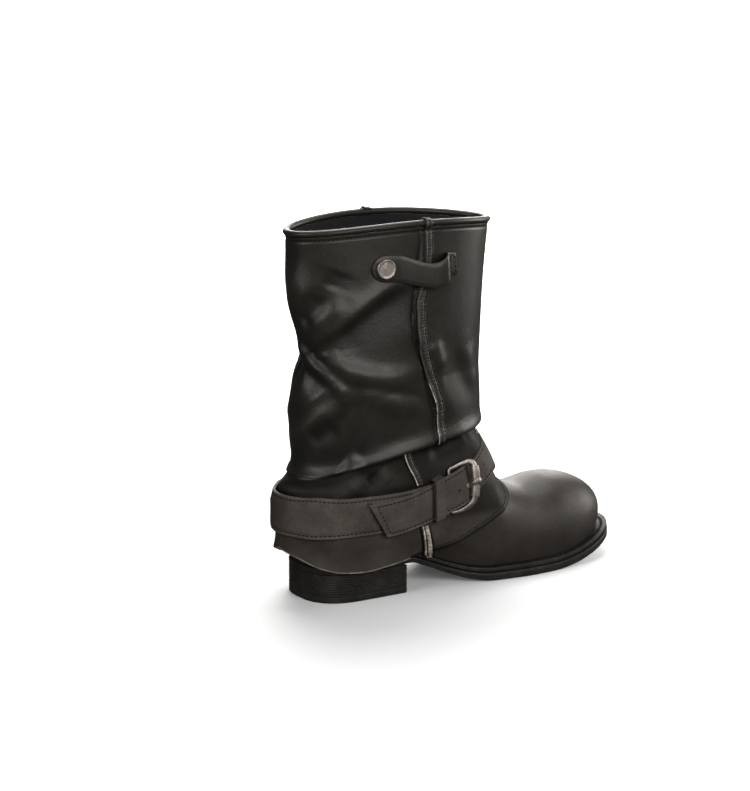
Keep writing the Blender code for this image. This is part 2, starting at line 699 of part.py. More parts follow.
def build_piping(parts):
    """Round bead that binds the collar's edge."""
    angle, heights = shaft_rings()
    edge = shaft_point(angle, heights[-1])
    inward = np.roll(edge, -1, axis=0) - np.roll(edge, 1, axis=0)
    inward = np.column_stack([-inward[:, 1], inward[:, 0], np.zeros(len(edge))])
    inward /= np.linalg.norm(inward, axis=1, keepdims=True)
    middle = edge + inward * SHAFT_WALL / 2
    middle[:, 2] += GAP + PIPING_HEIGHT / 2
    rows = []
    for step in range(PIPING_SIDES):
        corner = 2 * math.pi * (step + 0.5) / PIPING_SIDES - math.pi / 2
        out = -inward * math.cos(corner) * PIPING_WIDTH / 2
        rise = math.sin(corner) * PIPING_HEIGHT / 2
        rows.append(middle + out + np.array([0, 0, rise]))
    add_solid("collar_piping", grid_mesh(np.array(rows), True, True), "leather", parts)


def angle_at(x, z, side):
    """Angle on one side of the shaft at which its outer face has a given x."""
    def beyond(turn):
        return shaft_base(turn * side, z)[..., 0] > x

    return side * solve(beyond, np.shape(z), *SEAM_ANGLES)


def build_seams(parts):
    """Raised strips over the side seams, cut where the strap and the slouch fold cover them."""
    for prefix, side, table in (("outer", OUTER, OUTER_SEAM), ("inner", INNER, INNER_SEAM)):
        seam_x = smooth_curve(table, SEAM_COLUMNS, "x")
        for name, low, high, count in SEAM_BANDS:
            z = np.linspace(low, high, count)
            lines = []
            for across in (-SEAM_WIDTH / 2, 0, SEAM_WIDTH / 2):
                angle = angle_at(seam_x(z) - side * across, z, side)
                lines.append(shaft_offset(angle, z, SEAM_LIFT))
            points = np.array(lines).transpose(1, 0, 2)
            add_solid(f"{prefix}_seam_{name}", grid_mesh(points), "seam", parts, SEAM_THICKNESS, 1.0)


def strap_point(angle, across, lift):
    """Point in the strap's frame: angle along it, share of its half width across it, height off the shaft."""
    return shaft_offset(angle, strap_z(angle) + across * strap_half(angle), lift)


def build_strap(parts):
    """Strap round heel and instep whose slanted tail lies over its own start."""
    share = np.linspace(0, 1, STRAP_COLUMNS)
    across = np.linspace(-1, 1, STRAP_ROWS)[:, None]
    angle = STRAP_TAIL_ANGLE + share * (STRAP_START_ANGLE - STRAP_TAIL_ANGLE)
    angle = angle - STRAP_TAIL_SLANT * across * np.clip(1 - STRAP_TAIL_FADE * share, 0, 1)
    across = np.broadcast_to(across, angle.shape)
    points = strap_point(angle, across, strap_lift(angle))
    add_solid("ankle_strap", grid_mesh(points), "strap", parts, STRAP_THICKNESS, 1.0)


def build_keeper(parts):
    """Loop that holds the strap's tail, with its feet beside the strap's edges."""
    angle = np.linspace(KEEPER_FROM, KEEPER_TO, KEEPER_ROWS)
    across = column(KEEPER, KEEPER_COLUMNS, "across")[:, None]
    lift = column(KEEPER, KEEPER_COLUMNS, "lift")[:, None]
    angle, across, lift = np.broadcast_arrays(angle, across, lift)
    points = strap_point(angle, across, lift)
    add_solid("strap_keeper", grid_mesh(points), "strap", parts, KEEPER_THICKNESS, 1.0)


def bar_rows(table, names, closed):
    """Rectangular bar along a path given in the strap's frame, as four rows of corners."""
    angle = column(table, names, "angle")
    reach = column(table, names, "across")
    lift = column(table, names, "lift")
    z = strap_z(angle) + reach
    path = shaft_offset(angle, z, lift)
    normal = shaft_offset(angle, z, lift + 1) - path
    if closed:
        run = np.roll(path, -1, axis=0) - np.roll(path, 1, axis=0)
    else:
        run = np.gradient(path, axis=0)
    side = np.cross(run, normal)
    side /= np.linalg.norm(side, axis=1, keepdims=True)
    wide = side * column(table, names, "width")[:, None] / 2
    thick = normal * column(table, names, "thickness")[:, None] / 2
    return np.array([path - wide - thick, path + wide - thick, path + wide + thick, path - wide + thick])


def build_buckle(parts):
    """Metal frame round the strap and the prong that rests on its front bar."""
    frame = grid_mesh(bar_rows(BUCKLE, BUCKLE_COLUMNS, True), True, True)
    bmesh.ops.recalc_face_normals(frame, faces=frame.faces)
    add_solid("buckle_frame", frame, "metal", parts)
    prong = grid_mesh(bar_rows(PRONG, PRONG_COLUMNS, False), False, True)
    bmesh.ops.holes_fill(prong, edges=[edge for edge in prong.edges if edge.is_boundary], sides=0)
    bmesh.ops.recalc_face_normals(prong, faces=prong.faces)
    add_solid("buckle_prong", prong, "metal", parts)


def pull_height(angle):
    share = (angle - PULL_FROM_ANGLE) / (PULL_TO_ANGLE - PULL_FROM_ANGLE)
    return PULL_FROM_Z + share * (PULL_TO_Z - PULL_FROM_Z)


def build_pull_strap(parts):
    """Bowed strap near the collar, riveted at its round end and sewn at the other."""
    ends = column(PULL_SHAPE, PULL_SHAPE_COLUMNS, "share")
    ends = ends[ends < 1 / PULL_COLUMNS]
    share = np.concatenate([ends, np.linspace(2 / PULL_COLUMNS, 1, PULL_COLUMNS - 2)])
    angle = PULL_FROM_ANGLE + share * (PULL_TO_ANGLE - PULL_FROM_ANGLE)
    across = np.linspace(-1, 1, 3)[:, None]
    z = pull_height(angle) + across * PULL_HALF_WIDTH * pull_width(share)
    points = shaft_offset(angle, z, PULL_LIFT + PULL_BOW * pull_bow(share))
    add_solid("pull_strap", grid_mesh(points), "strap", parts, PULL_THICKNESS, 1.0)


def build_rivet(parts):
    """Flat round rivet head on the pull strap's round end."""
    z = pull_height(RIVET_ANGLE)
    lift = PULL_LIFT + PULL_THICKNESS + GAP
    foot = shaft_offset(RIVET_ANGLE, z, lift)
    normal = shaft_offset(RIVET_ANGLE, z, lift + 1) - foot
    side = np.cross((0, 0, 1), normal)
    side /= np.linalg.norm(side)
    up = np.cross(normal, side)
    turn = np.linspace(0, 2 * math.pi, RIVET_SIDES, endpoint=False)[:, None]
    spoke = (side * np.cos(turn) + up * np.sin(turn)) * RIVET_DIAMETER / 2
    rows = [foot + normal * RIVET_HEIGHT * height + spoke * radius for height, radius in RIVET_PROFILE]
    mesh = grid_mesh(np.array(rows), close_columns=True)
    bmesh.ops.holes_fill(mesh, edges=[edge for edge in mesh.edges if edge.is_boundary], sides=0)
    bmesh.ops.recalc_face_normals(mesh, faces=mesh.faces)
    add_solid("pull_strap_rivet", mesh, "metal", parts)


def main():
    for item in list(bpy.data.objects):
        bpy.data.objects.remove(item, do_unlink=True)
    parts = bpy.data.collections.new("slouch_boot")
    bpy.context.scene.collection.children.link(parts)
    for name in COLOURS:
        make_material(name)
    build_outsole(parts)
    build_welt(parts)
    build_heel(parts)
    build_insole(parts)
    build_upper(parts)
    build_shaft(parts)
    build_piping(parts)
    build_seams(parts)
    build_strap(parts)
    build_keeper(parts)
    build_buckle(parts)
    build_pull_strap(parts)
    build_rivet(parts)


main()
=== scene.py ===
"""Looks of the slouched mid-calf boot: fine leather, stitches, straps, buckle, sole, light and camera.

Sizes and tables are in millimetres and MM turns them into metres. +X points to the toe, +Y to the inner
side and +Z up. Angles run about the upright line x = AXIS_X: 0 is the front, -90 the outer side.
"""
import math

import bmesh
import bpy
import numpy as np
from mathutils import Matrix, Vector


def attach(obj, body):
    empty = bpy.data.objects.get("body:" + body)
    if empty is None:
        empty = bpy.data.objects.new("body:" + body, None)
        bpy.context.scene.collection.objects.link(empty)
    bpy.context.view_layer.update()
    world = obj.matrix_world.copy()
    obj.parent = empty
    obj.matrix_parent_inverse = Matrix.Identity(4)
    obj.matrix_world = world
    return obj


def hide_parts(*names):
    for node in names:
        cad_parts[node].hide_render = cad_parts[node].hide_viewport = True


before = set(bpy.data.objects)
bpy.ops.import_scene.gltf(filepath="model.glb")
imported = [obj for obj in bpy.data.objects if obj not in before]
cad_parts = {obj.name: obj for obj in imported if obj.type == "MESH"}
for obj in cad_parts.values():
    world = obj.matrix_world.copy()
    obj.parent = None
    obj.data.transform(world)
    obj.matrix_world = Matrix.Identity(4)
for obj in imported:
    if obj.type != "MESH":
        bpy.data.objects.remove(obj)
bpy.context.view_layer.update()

MM = 0.001
OUTER = -1
INNER = 1
RAY_START = 1.0
RAY_LIMIT = 320.0
SOLVE_STEPS = 22
FIELD_FLOOR = -2000.0
FIELD_STEP = 0.4
NORMAL_STEP = 0.8
MERGE_DISTANCE = 0.002
SMOOTH_ANGLE = 35.0

# Foot form
AXIS_X = 45.0
FAN_POINT = np.array([AXIS_X, 0, -30.0])
BALL_X = 150.0
TOE_X = 236.0
TOE_TUCK = 1.5
TOE_TOP_X = 185.0
TOE_POWER = 2.5
TOE_PROFILE_POWER = 2.2
HEEL_CENTRE_X = -4.0
HEEL_POWER = 2.6
TOE_BEND = 6.0
TOE_BEND_START = 60.0
TOE_BEND_LENGTH = 180.0
TOE_BEND_LIMIT = 1.3
LEG_START_Z = 120.0
LEG_FADE = 40.0
LAYER_GAP = 0.8
UPPER_WALL = 1.9
SHAFT_WALL = 2.0
SHAFT_EASE = 3.3
WELT_SET_BACK = 0.5
WELT_INNER_REACH = -7.0
WELT_THICKNESS = 3.4
INSOLE_LIFT = 0.3
INSOLE_THICKNESS = 3.0
INSOLE_REACH = -3.9
UPPER_COLUMNS = 260
UPPER_ROWS = 72
UPPER_CROWDING = 0.62
UPPER_LINING_STEP = 4
SOLE_COUNT = 360
# Rounded edges: inset and height, for the outsole also the share of its thickness that is added
OUTSOLE_LEVELS = (
    (1.2, 0, 0), (0.35, 0.25, 0), (0, 0.9, 0), (0, -0.5, 0.5), (0.5, -0.1, 0.5),
    (0.5, 0.1, 0.5), (0, 0.5, 0.5), (0, -0.9, 1), (0.35, -0.25, 1), (1.1, 0, 1),
)
INSOLE_LEVELS = ((0.4, 0), (0, 0.5), (0, INSOLE_THICKNESS - 0.8), (0.8, INSOLE_THICKNESS))
WELT_EDGE = ((0.9, 0), (0.25, 0.25), (0, 0.9))
WELT_STITCH_SHARE = 0.55
WELT_STITCH_LIFT = 0.15

LAST = {
    "x": (-60, -4, 30, 65, 110, 150, 200, 240),
    "outer": (36, 36, 37.5, 39, 44, 46.8, 46, 45.5),
    "inner": (34.5, 34.5, 34, 33.5, 39, 43, 42.5, 42),
    "tuck": (0.14, 0.14, 0.18, 0.21, 0.09, 0.05, 0.05, 0.05),
    "bulge": (19, 19, 19, 19, 18, 17, 13, 11),
    "section": (2.4, 2.4, 2.4, 2.3, 2.05, 2.1, 2.2, 2.2),
    "welt": (3.8, 3.8, 2.8, 2.4, 4.8, 5.8, 7, 9.4),
}
RIDGE = {
    "x": (-60, 60, 95, 108, 113.5, 118, 123, 129.5, 139, 150, 159, 170, 185, 240),
    "z": (190, 172, 140, 116, 104, 92, 80, 72.5, 67, 63.6, 62.4, 63.8, 66, 66),
}
HEEL_PROFILE = {"z": (10, 31, 45, 60, 72, 88, 110, 150), "x": (-34, -34.5, -43, -47, -47, -36, -20, -16)}
SOLE = {
    "x": (-60, 42, 57, 76, 96, 112, 165, 186, 206, 226, 250),
    "bottom": (22.3, 22.3, 17.2, 9, 2.4, 0, 0, 1.6, 5.3, 10.3, 16.5),
    "thickness": (4.4, 4.4, 4.4, 4.8, 5.6, 6.2, 6.2, 6.2, 6.2, 6.2, 6.2),
}
SHAFT = {
    "z": (15, 40, 68, 86, 97, 106, 125, 160, 195, 230, 285),
    "back": (-50, -53, -53, -51.5, -44, -37.5, -40, -42, -42, -43.5, -44.5),
    "front": (70, 80, 94, 106, 114, 117, 118, 118.5, 120, 122.5, 129.5),
    "outer": (38, 41, 42, 41.5, 40.5, 41, 44, 45, 44.5, 42.5, 38.5),
    "inner": (36, 38.5, 39.5, 39, 38.5, 39, 41, 42, 42, 41, 38),
    "widest": (0, 5, 12, 20, 30, 36, 38, 39, 40, 42, 42),
}
SHAFT_POWER = 2.1
COVER_BLEND = 120.0
COVER_BLEND_TOP = 128.0
COVER_BLEND_FADE = 30.0
HEM = {
    "angle": (0, 8.4, 17, 25.6, 32.4, 41, 52, 73, 97, 126, 141, 152, 160, 170, 180),
    "z": (72, 70, 65.5, 59, 53, 44.4, 36.3, 30.3, 27.5, 25.4, 24, 25.4, 29.3, 37, 41),
    "flare": (0.4, 0.4, 0.4, 0.6, 0.6, 0.8, 1.0, 1.2, 1.4, 1.6, 1.6, 2.0, 2.4, 2.0, 1.6),
    "overlap": (8, 8, 9, 11, 13, 16, 18, 20, 22, 24, 26, 26, 25, 22, 20),
}
HEM_FLARE_HEIGHT = 14.0
HEM_EDGE_DROP = 0.5
HEM_STITCH = 3.4
HEM_STITCH_LIFT = 0.2
HEM_STITCH_ANGLE = 80.0
# Angle from the front within which the hem's edge is darkened as painted shadow over the vamp
HEM_SHADOW_ANGLE = 100.0
# The shaft's mesh: columns on its outer and inner side, and rows of its outer face up to heights about a line
SHAFT_COLUMNS = (230, 150)
SHAFT_ROWS = (("hem", 0.9, 1), ("fold", -12, 41), ("fold", 14, 44), ("rim", -8, 90), ("rim", 0, 16))
ANKLE_ROWS = 57
LINING_ROWS = 44
RIM_Z = 277.8
RIM_SADDLE = 2.7
RIM_BACK_RISE = 1.6
RIM_OUTER_RISE = 0.8
PIPING_WIDTH = 5.6
PIPING_HEIGHT = 5.2
PIPING_SIDES = 14
PIPING_LIFT = 0.1
COLLAR_SEAM_DROP = 2.6
COLLAR_STITCH_LIFT = 0.1
COLLAR_GROOVE = 0.7
COLLAR_GROOVE_REACH = 0.8

# Leather coordinates: distance round the shaft from its back line, positive on the outer side, and height
WRAP_LONG = 86.0
WRAP_WIDE = 43.0
WRAP_STEPS = 1441
CROWDING = 0.5

FOLD_LINE = {
    "around": (0, 19, 34, 52, 68, 86, 107, 118, 150, 173, 208),
    "z": (98, 99, 102.5, 108, 113, 118.5, 122, 123.5, 124, 123.5, 123),
    "depth": (0.5, 0.66, 0.78, 0.86, 1.06, 1.18, 1.14, 1.04, 0.9, 0.6, 0.4),
}
# The slouch fold: leather heights about the fold line, how far they stand out and where they hang
FOLD = {
    "leather": (-44, -30, -18, -9, -4, -2, -0.5, 1, 2.5, 4.2, 5.5, 7, 9, 12, 20, 30, 44),
    "out": (0, -1.2, -2.4, -3, -3, -2.2, 0, 3, 5.4, 6.4, 6.1, 5.3, 4.3, 3.5, 2.8, 1.8, 0),
    "hang": (-44, -30, -18, -9, -4.2, -2.6, -2.9, -4.2, -4.4, -2.8, -0.9, 1.5, 4.4, 8.5, 18.5, 29.5, 44),
}

# Creases: height, reach above, reach below, then points (around, z). Each fades over a share of its length
CREASE_FADE = 0.3
CREASE_END = 0.25
CREASES = (
    # Outer side and back
    (2.8, 9, 5, ((14, 195), (26, 202), (33, 207), (42, 214), (51, 221), (60, 227), (69, 233), (80, 238),
                 (92, 240))),
    (-2.8, 4.5, 24, ((24, 196), (37, 203), (48, 211), (57, 218), (65, 225), (74, 231), (84, 234), (98, 235))),
    (3.4, 7.5, 13, ((22, 189), (34, 183), (45, 178.5), (57, 175), (70, 172), (83, 171), (104, 174))),
    (-3.8, 5.5, 5, ((8, 199), (19, 188), (27, 182.5), (35, 176.5), (42, 170), (50, 167))),
    (2.6, 5.5, 6, ((2, 195), (13, 190), (21, 182), (30, 176), (37, 170.5), (41, 165), (41, 158), (38, 151))),
    (3.0, 7, 7, ((41, 155), (30, 144.5), (17, 135), (0, 125))),
    (-3.4, 6, 11, ((-10, 184), (8, 180), (20, 174), (31, 167), (34, 160))),
    (-1.2, 4, 4, ((48, 168), (66, 165), (83, 160), (97, 156), (107, 148))),
    (1.4, 10, 8, ((50, 158), (66, 156), (84, 152), (96, 148))),
    (-2.2, 22, 6.5, ((-6, 106), (22, 108), (40, 112.8), (57, 118), (75, 123), (90, 126.8), (112, 130))),
    (-3.4, 6, 10, ((37, 142), (27, 135), (12, 125))),
    (-2.8, 7, 7, ((8, 211), (17, 219), (23, 225), (27, 237))),
    (2.2, 7, 7, ((12, 211), (22, 216), (34, 223), (46, 231))),
    (2.8, 13, 13, ((-4, 246), (12, 237), (20, 231))),
    (-1.8, 10, 10, ((34, 238), (40, 254))),
    (-10.5, 26, 18, ((-46, 191), (-28, 188), (-8, 187), (8, 189))),
    (0.6, 7, 9, ((114, 172), (119, 160), (124, 150), (136, 136))),
    (2.2, 6, 8, ((112.5, 197), (116, 187), (121, 172))),
    (-1.2, 10, 12, ((132, 188), (142, 166), (158, 146))),
    (1.6, 10, 10, ((150, 190), (156, 168), (168, 150))),
    (-1.7, 1.7, 1.7, ((103.5, 280), (105, 272), (101, 248), (98, 230), (96, 214), (97.5, 198), (102.5, 183),
                      (106.5, 166), (111.5, 146), (113.5, 122))),
    # Ankle below the fold
    (-3.6, 7, 8, ((112, 109), (126, 109), (140, 111), (154, 114))),
    (2.8, 5, 5, ((184, 117), (177, 108), (160, 102), (147, 96))),
    (1.8, 5, 5, ((50, 86), (60, 97))),
    (1.8, 5, 5, ((70, 100), (79, 91))),
    (-1.8, 5, 5, ((63, 99), (68, 90))),
    (1.6, 6, 6, ((-18, 91), (-4, 87), (14, 86))),
    # Inner side
    (4.6, 11, 9, ((-14, 176), (-35, 178), (-58, 174), (-80, 172), (-102, 176))),
    (-4.6, 9, 12, ((-14, 160), (-40, 157), (-65, 153), (-90, 151), (-108, 154))),
    (3.2, 13, 5, ((-14, 200), (-34, 208), (-52, 219), (-70, 229), (-90, 235))),
    (-3.8, 5, 11, ((-22, 194), (-40, 201), (-58, 212), (-76, 222), (-96, 229))),
    (2.6, 7, 7, ((-8, 146), (-30, 140), (-55, 136), (-84, 139))),
    (2.2, 9, 9, ((-122, 170), (-132, 151), (-144, 136))),
    (-3.0, 7, 8, ((-114, 109), (-130, 110), (-152, 114))),
    (1.6, 4, 4, ((-60, 96), (-68, 104))),
)
# Painted light and shade in the shaft's leather colour: strength, place and reach of each, and the crease
# height that shades fully
CREASE_TONE = 8.0
# Painted highlight along the lip of the slouch fold
FOLD_HIGHLIGHT = (0.4, 5, 3)
# Painted shade in the crevice under the slouch fold
FOLD_SHADE = (0.8, -4, 6)
# Painted shadow on the leather just above the strap's upper edge
SHADOW_ABOVE_STRAP = (0.9, 1, 2.4)
# Painted shade on the ankle below the fold, where the crease shading is made stronger too
ANKLE_SHADE = (0.4, 2, 6)
ANKLE_CONTRAST = 1.5
# Painted floor bounce: the leather below the strap is made lighter
QUARTER_BOUNCE = (1.5, 60.0, 8)

# The strap: its middle, half width and height off the shaft, and how far its upper edge gapes
STRAP = {
    "angle": (-500, -475, -440, -426, -418, -410, -405, -398, -390, -376, -360, -335, -305, -270, -225, -180,
              -137, -115, -90, -60),
    "z": (63, 65, 70.5, 74, 76, 79, 81.8, 87.4, 93.6, 99, 100.4, 94, 81, 72, 68.5, 68, 67.8, 68, 69.2, 72.6),
    "half": (13.2, 13.6, 13.8, 14, 14, 13.8, 13, 10, 9.8, 11.2, 12.8, 13.8, 14.4, 14.4, 14.4, 15, 14.4, 14.2,
             14, 13.6),
    "lift": (3.6, 3.6, 3.6, 3.7, 3.8, 3.3, 2.3, 1.7, 1.6, 1.6, 1.5, 1.5, 1.2, 1.1, 1.1, 1.2, 1.1, 0.9, 0.9,
             0.9),
    "gape": (0.1, 0.1, 0.1, 0.1, 0, 0, 0, 0, 0, 0, 0, 0.3, 0.8, 1.0, 1.4, 1.6, 1.4, 0.8, 0.3, 0),
}
STRAP_SHARES = (-1.0, -0.985, -0.95, -0.86, -0.81, -0.76, -0.6, -0.3, 0.0, 0.3, 0.6, 0.76, 0.81, 0.86, 0.95,
                0.985, 1.0)
STRAP_PROFILE = (0.3, 0.75, 0.97, 1.0, 0.82, 1.0, 1.02, 1.03, 1.03, 1.03, 1.02, 1.0, 0.82, 1.0, 0.97, 0.75,
                 0.3)
STRAP_STITCH_SHARE = 0.81
STRAP_STITCH_ENDS = (0.008, 0.995)
STRAP_STITCH_COLUMNS = 600
STRAP_STITCH_RISE = 0.9
STRAP_END_SHARE = 0.8
STRAP_COLUMNS = 620
STRAP_THICKNESS = 2.2
STRAP_GAPE_FROM = -0.4
STRAP_TAIL_ANGLE = -494.0
STRAP_TAIL_SLANT = 5.6
STRAP_TAIL_FADE = 6.0
STRAP_TAIL_TOP = 0.7
STRAP_START_ANGLE = -60.6
STRAP_HOLES = ((-413.4, -0.02), (-394, 0.1))
STRAP_HOLE_REACH = 0.8
STRAP_HOLE_COLUMNS = 9
STRAP_HOLE_RISE = 1.01
# Painted shadows on the strap: strength, reach at buckle slot and keeper, and place and reach at the tail
STRAP_SHADOW_STRENGTH = 1.3
SLOT_SHADOW_REACH = 1.2
KEEPER_SHADOW_REACH = 1.9
TAIL_SHADOW_PLACE = 1.5
TAIL_SHADOW_REACH = 1.4
STRAP_EDGE_LIGHT = 0.5
STRAP_EDGE_SHARE = 0.94
KEEPER_FROM = -437.0
KEEPER_TO = -427.0
KEEPER_THICKNESS = 1.6
KEEPER = {
    "across": (-1.2, -1.16, -1.12, -1.05, 0, 1.05, 1.12, 1.16, 1.2),
    "lift": (0.8, 1.4, 4.8, 6.5, 6.7, 6.5, 4.8, 1.4, 0.8),
}
KEEPER_COLUMNS = ((-1.0, 15), (-0.9, 1), (0.9, 18), (1.0, 1), (1.2, 15))
# Metal bars: sides and steps along them, and how round their corners are
METAL_SIDES = 16
BAR_STEPS = 5
BAR_EDGE = 0.6
SLEEVE_STEPS = 3
SLEEVE_EDGE = 0.35
BUCKLE_SLOT = -405.2
BUCKLE = {
    "angle": (-418.4, -418.4, -418.4, -416.4, -409.5, -404.0, -401.1, -403.0, -405.0, -407.8, -411.6, -416.6),
    "across": (-15.4, 0, 16.6, 17.2, 16.8, 14.8, 10.0, -2.2, -13.6, -15.8, -16.4, -16.2),
    "lift": (2.1, 2.1, 2.1, 2.5, 4.4, 6.2, 7.4, 7.8, 7.4, 6.2, 4.4, 2.5),
    "width": (2.2, 2, 2.2, 2.6, 3.2, 3.8, 4.2, 4.2, 4.4, 4.4, 3.2, 2.4),
    "thickness": (2, 2, 2, 2.2, 2.6, 3, 3, 3, 3, 3, 2.6, 2.2),
}
# Sleeves on the buckle's front bar, above and below its prong
SLEEVE = {"width": (6.0, 6.2, 6.2, 6.0), "thickness": (4.0, 4.2, 4.2, 4.0)}
UPPER_SLEEVE = {
    "angle": (-401.6, -401.9, -402.3, -402.6),
    "across": (8.4, 5.7, 3.0, 0.3),
    "lift": (8.0, 8.1, 8.2, 8.2),
    **SLEEVE,
}
LOWER_SLEEVE = {
    "angle": (-403.4, -403.8, -404.2, -404.6),
    "across": (-3.7, -6.0, -8.3, -10.6),
    "lift": (8.2, 8.1, 8.0, 7.9),
    **SLEEVE,
}
PRONG = {
    "angle": (-411, -408, -405.9, -404.9, -402.4, -400.9),
    "across": (-1.7,) * 6,
    "lift": (3.8, 4.0, 4.4, 8.6, 10.6, 10.0),
    "width": (3, 3.4, 4, 4.2, 4.2, 3),
    "thickness": (1.6, 1.6, 1.7, 1.8, 1.8, 1.4),
}
OUTER_SEAM = {
    "z": (24, 53, 84, 112, 121, 132, 144, 159, 176, 192, 210, 224, 236, 258, 285),
    "x": (57.1, 48.4, 44.4, 34.2, 55.6, 57.8, 57.7, 53.9, 48.2, 44.6, 42.6, 43.1, 46.1, 51.6, 52.2),
}
INNER_SEAM = {
    "z": (24, 53, 84, 112, 121, 144, 176, 210, 258, 285),
    "x": (52, 48, 44, 40, 50, 52, 48, 44, 46, 46),
}
SEAM_BANDS = {"hem": (25.5, 53.5), "ankle": (85.0, 113.0), "shaft": (118.6, 280.4)}
SEAM_WIDTH = 6.4
SEAM_THICKNESS = 1.3
SEAM_LIFT = 0.15
SEAM_ROW = 0.5
# Section of a seam strip: a bead at its rear edge, a groove and a flat, wrinkled part, with how light each
# is: dark flanges at the edges as painted shadow, a lighter bead and flat edge as wear and painted highlight,
# and a darker groove as painted shade
SEAM_SHARES = (-1.5, -1.44, -1.06, -0.95, -0.86, -0.72, -0.55, -0.38, -0.22, -0.05, 0.2, 0.5, 0.75, 0.9, 0.97,
               1.03, 1.46, 1.52)
SEAM_PROFILE = (0.05, 0.15, 0.15, 0.7, 1.15, 1.35, 1.25, 0.9, 0.6, 0.72, 0.85, 0.9, 0.85, 0.7, 0.45, 0.15,
                0.15, 0.05)
SEAM_SHADE = (-1.0, -1.0, -1.0, -0.9, -0.1, 0.7, 0.5, -0.3, -0.9, -0.2, 0.1, 0.2, 0.3, 0.7, 0.0, -0.9, -0.9,
             -0.9)
SEAM_WRINKLE = (0, 0, 0, 0, 0.02, 0.03, 0.03, 0.03, 0.03, 0.05, 0.09, 0.1, 0.08, 0.05, 0.03, 0, 0, 0)
SEAM_WRINKLE_PITCH = 2.3
# Painted shade and highlight on the wrinkles: lighter on their crests and darker between them
SEAM_WRINKLE_SHADE = 1.6
SEAM_WAVER = 1.3
SEAM_WAVER_LENGTH = 3.1
# Shares of the section with pale leather in each band, up to a height: worn edges that also stand in as
# painted highlight on the strip
SEAM_WORN_AND_HIGHLIT = {
    "hem": (-0.95, -0.86, -0.72, -0.55, -0.05, 0.2, 0.5, 0.75),
    "ankle": (-0.86, -0.72),
    "shaft": (-0.86,),
}
SEAM_WORN_AND_HIGHLIT_TOP = 164.0
SEAM_STITCH = 7.2
SEAM_STITCH_LIFT = 0.55
# Angles that are searched for a seam on one side: first, last and count
SIDE_ANGLES = (2, 178, 177)
# Collar tabs: columns, length, lift, drop, and the turn about the bead from which to which they wrap it
TAB_COLUMNS = 16
TAB_LENGTH = 12
TAB_LIFT = 0.1
TAB_DROP = 1.0
TAB_FROM = -62
TAB_TO = 130
# Section of keeper and pull strap, and where a strap's stitches lie in shares of its thickness
TOP_SHARE = 1.03
STRIP_SHARES = (-1.0, -0.97, -0.88, -0.6, 0.0, 0.6, 0.88, 0.97, 1.0)
STRIP_PROFILE = (0.35, 0.75, 0.95, 1.0, 1.04, 1.0, 0.95, 0.75, 0.35)

PULL_FROM_ANGLE = -138.0
PULL_TO_ANGLE = -50.0
PULL_FROM_Z = 254.0
PULL_TO_Z = 248.5
PULL_HALF_WIDTH = 10.2
PULL_THICKNESS = 1.9
PULL_LIFT = 0.5
PULL_SHAPE = {
    "share": (0, 0.004, 0.015, 0.045, 0.09, 0.12, 0.24, 0.36, 0.48, 0.60, 0.70, 0.77, 0.82, 0.86, 0.90, 1),
    "width": (0.05, 0.26, 0.5, 0.79, 0.97, 1, 1, 0.97, 0.92, 0.9, 0.93, 0.97, 0.98, 0.94, 0.88, 0.84),
    "bow": (0, 0, 0, 0, 0, 0, 0, 1.8, 4.8, 8, 10.2, 10.6, 8.6, 4.4, 0.6, 0),
    "sag": (0, 0, 0, 0, 0, 0, 0, -1.6, -3.6, -4.8, -3.8, -1.4, 0.8, 2.0, 2.6, 2.4),
}
PULL_ROUND_END = (0, 0.004, 0.009, 0.015, 0.025, 0.035, 0.045, 0.06, 0.075, 0.09)
PULL_COLUMNS = 80
PULL_EDGE_SHARE = 0.95
# Painted highlight along the pull strap's edges
PULL_EDGE_HIGHLIGHT = 0.9
PULL_LIGHT = 0.1
PULL_STITCH_ENDS = (0.925, 0.985)
PULL_STITCH_SHARE = 0.8
PULL_STITCH_COLUMNS = 12
# Points of a row of stitches across a strap
END_COLUMNS = 30
RIVET_ANGLE = -128.5
RIVET_DIAMETER = 15.0
RIVET_COLUMNS = 64
# Rivet: share of its radius and height off the strap
RIVET_PROFILE = (
    (0.0, 0.1), (0.96, 0.0), (1.0, 0.5), (1.0, 1.4), (0.98, 1.9), (0.94, 2.2), (0.90, 2.25), (0.87, 2.1),
    (0.84, 2.0), (0.6, 2.05), (0.3, 2.1), (0.0, 2.12),
)

HEEL_HEIGHT = 21.9
TOP_LIFT_HEIGHT = 5.0
HEEL_LIFTS = 9
HEEL_BREAST_X = 38.0
HEEL_HALF_WIDTH = 34.8
HEEL_BACK_X = -38.3
HEEL_CORNER = 2.0
HEEL_ARC_COLUMNS = 90
HEEL_CORNER_COLUMNS = 6
HEEL_TIP_LEVELS = ((0, 1.0), (0.2, 0.4), (0.8, 0), (TOP_LIFT_HEIGHT - 0.5, 0), (TOP_LIFT_HEIGHT, 0.4))
HEEL_TIP_GAP = 0.3
# Edges of the stack and groove between two lifts: height about the end or joint and inset
HEEL_LOW_EDGE = ((0, 0.5), (0.25, 0.1))
HEEL_HIGH_EDGE = ((-0.3, 0), (0, 0.4))
HEEL_GROOVE = ((-0.42, 0), (-0.26, 0.15), (0, 0.75), (0.26, 0.15), (0.42, 0))

# Stitches: pitch, length, width and height. A strap hole is a pair of flat dark beads
STITCHES = {
    "hem": (2.6, 2.0, 0.9, 0.8),
    "welt": (2.2, 1.7, 2.6, 1.1),
    "collar": (3.4, 2.6, 0.8, 0.8),
    "seam": (2.6, 1.7, 0.9, 0.9),
    "strap": (3.4, 2.6, 1.0, 0.8),
    "pull_across": (2.8, 2.2, 0.9, 0.8),
    "pull_along": (2.4, 1.9, 0.9, 0.8),
    "strap_hole": (1.7, 1.7, 1.9, 0.2),
}
# One stitch: places along it and how full it is there
BEAD_SHARES = (0.0, 0.06, 0.22, 0.5, 0.78, 0.94, 1.0)
BEAD_SWELL = (0.0, 0.55, 0.9, 1.0, 0.9, 0.55, 0.0)
BEAD_SIDES = 6
BEAD_TIP = 0.12
BEAD_SINK = 0.6

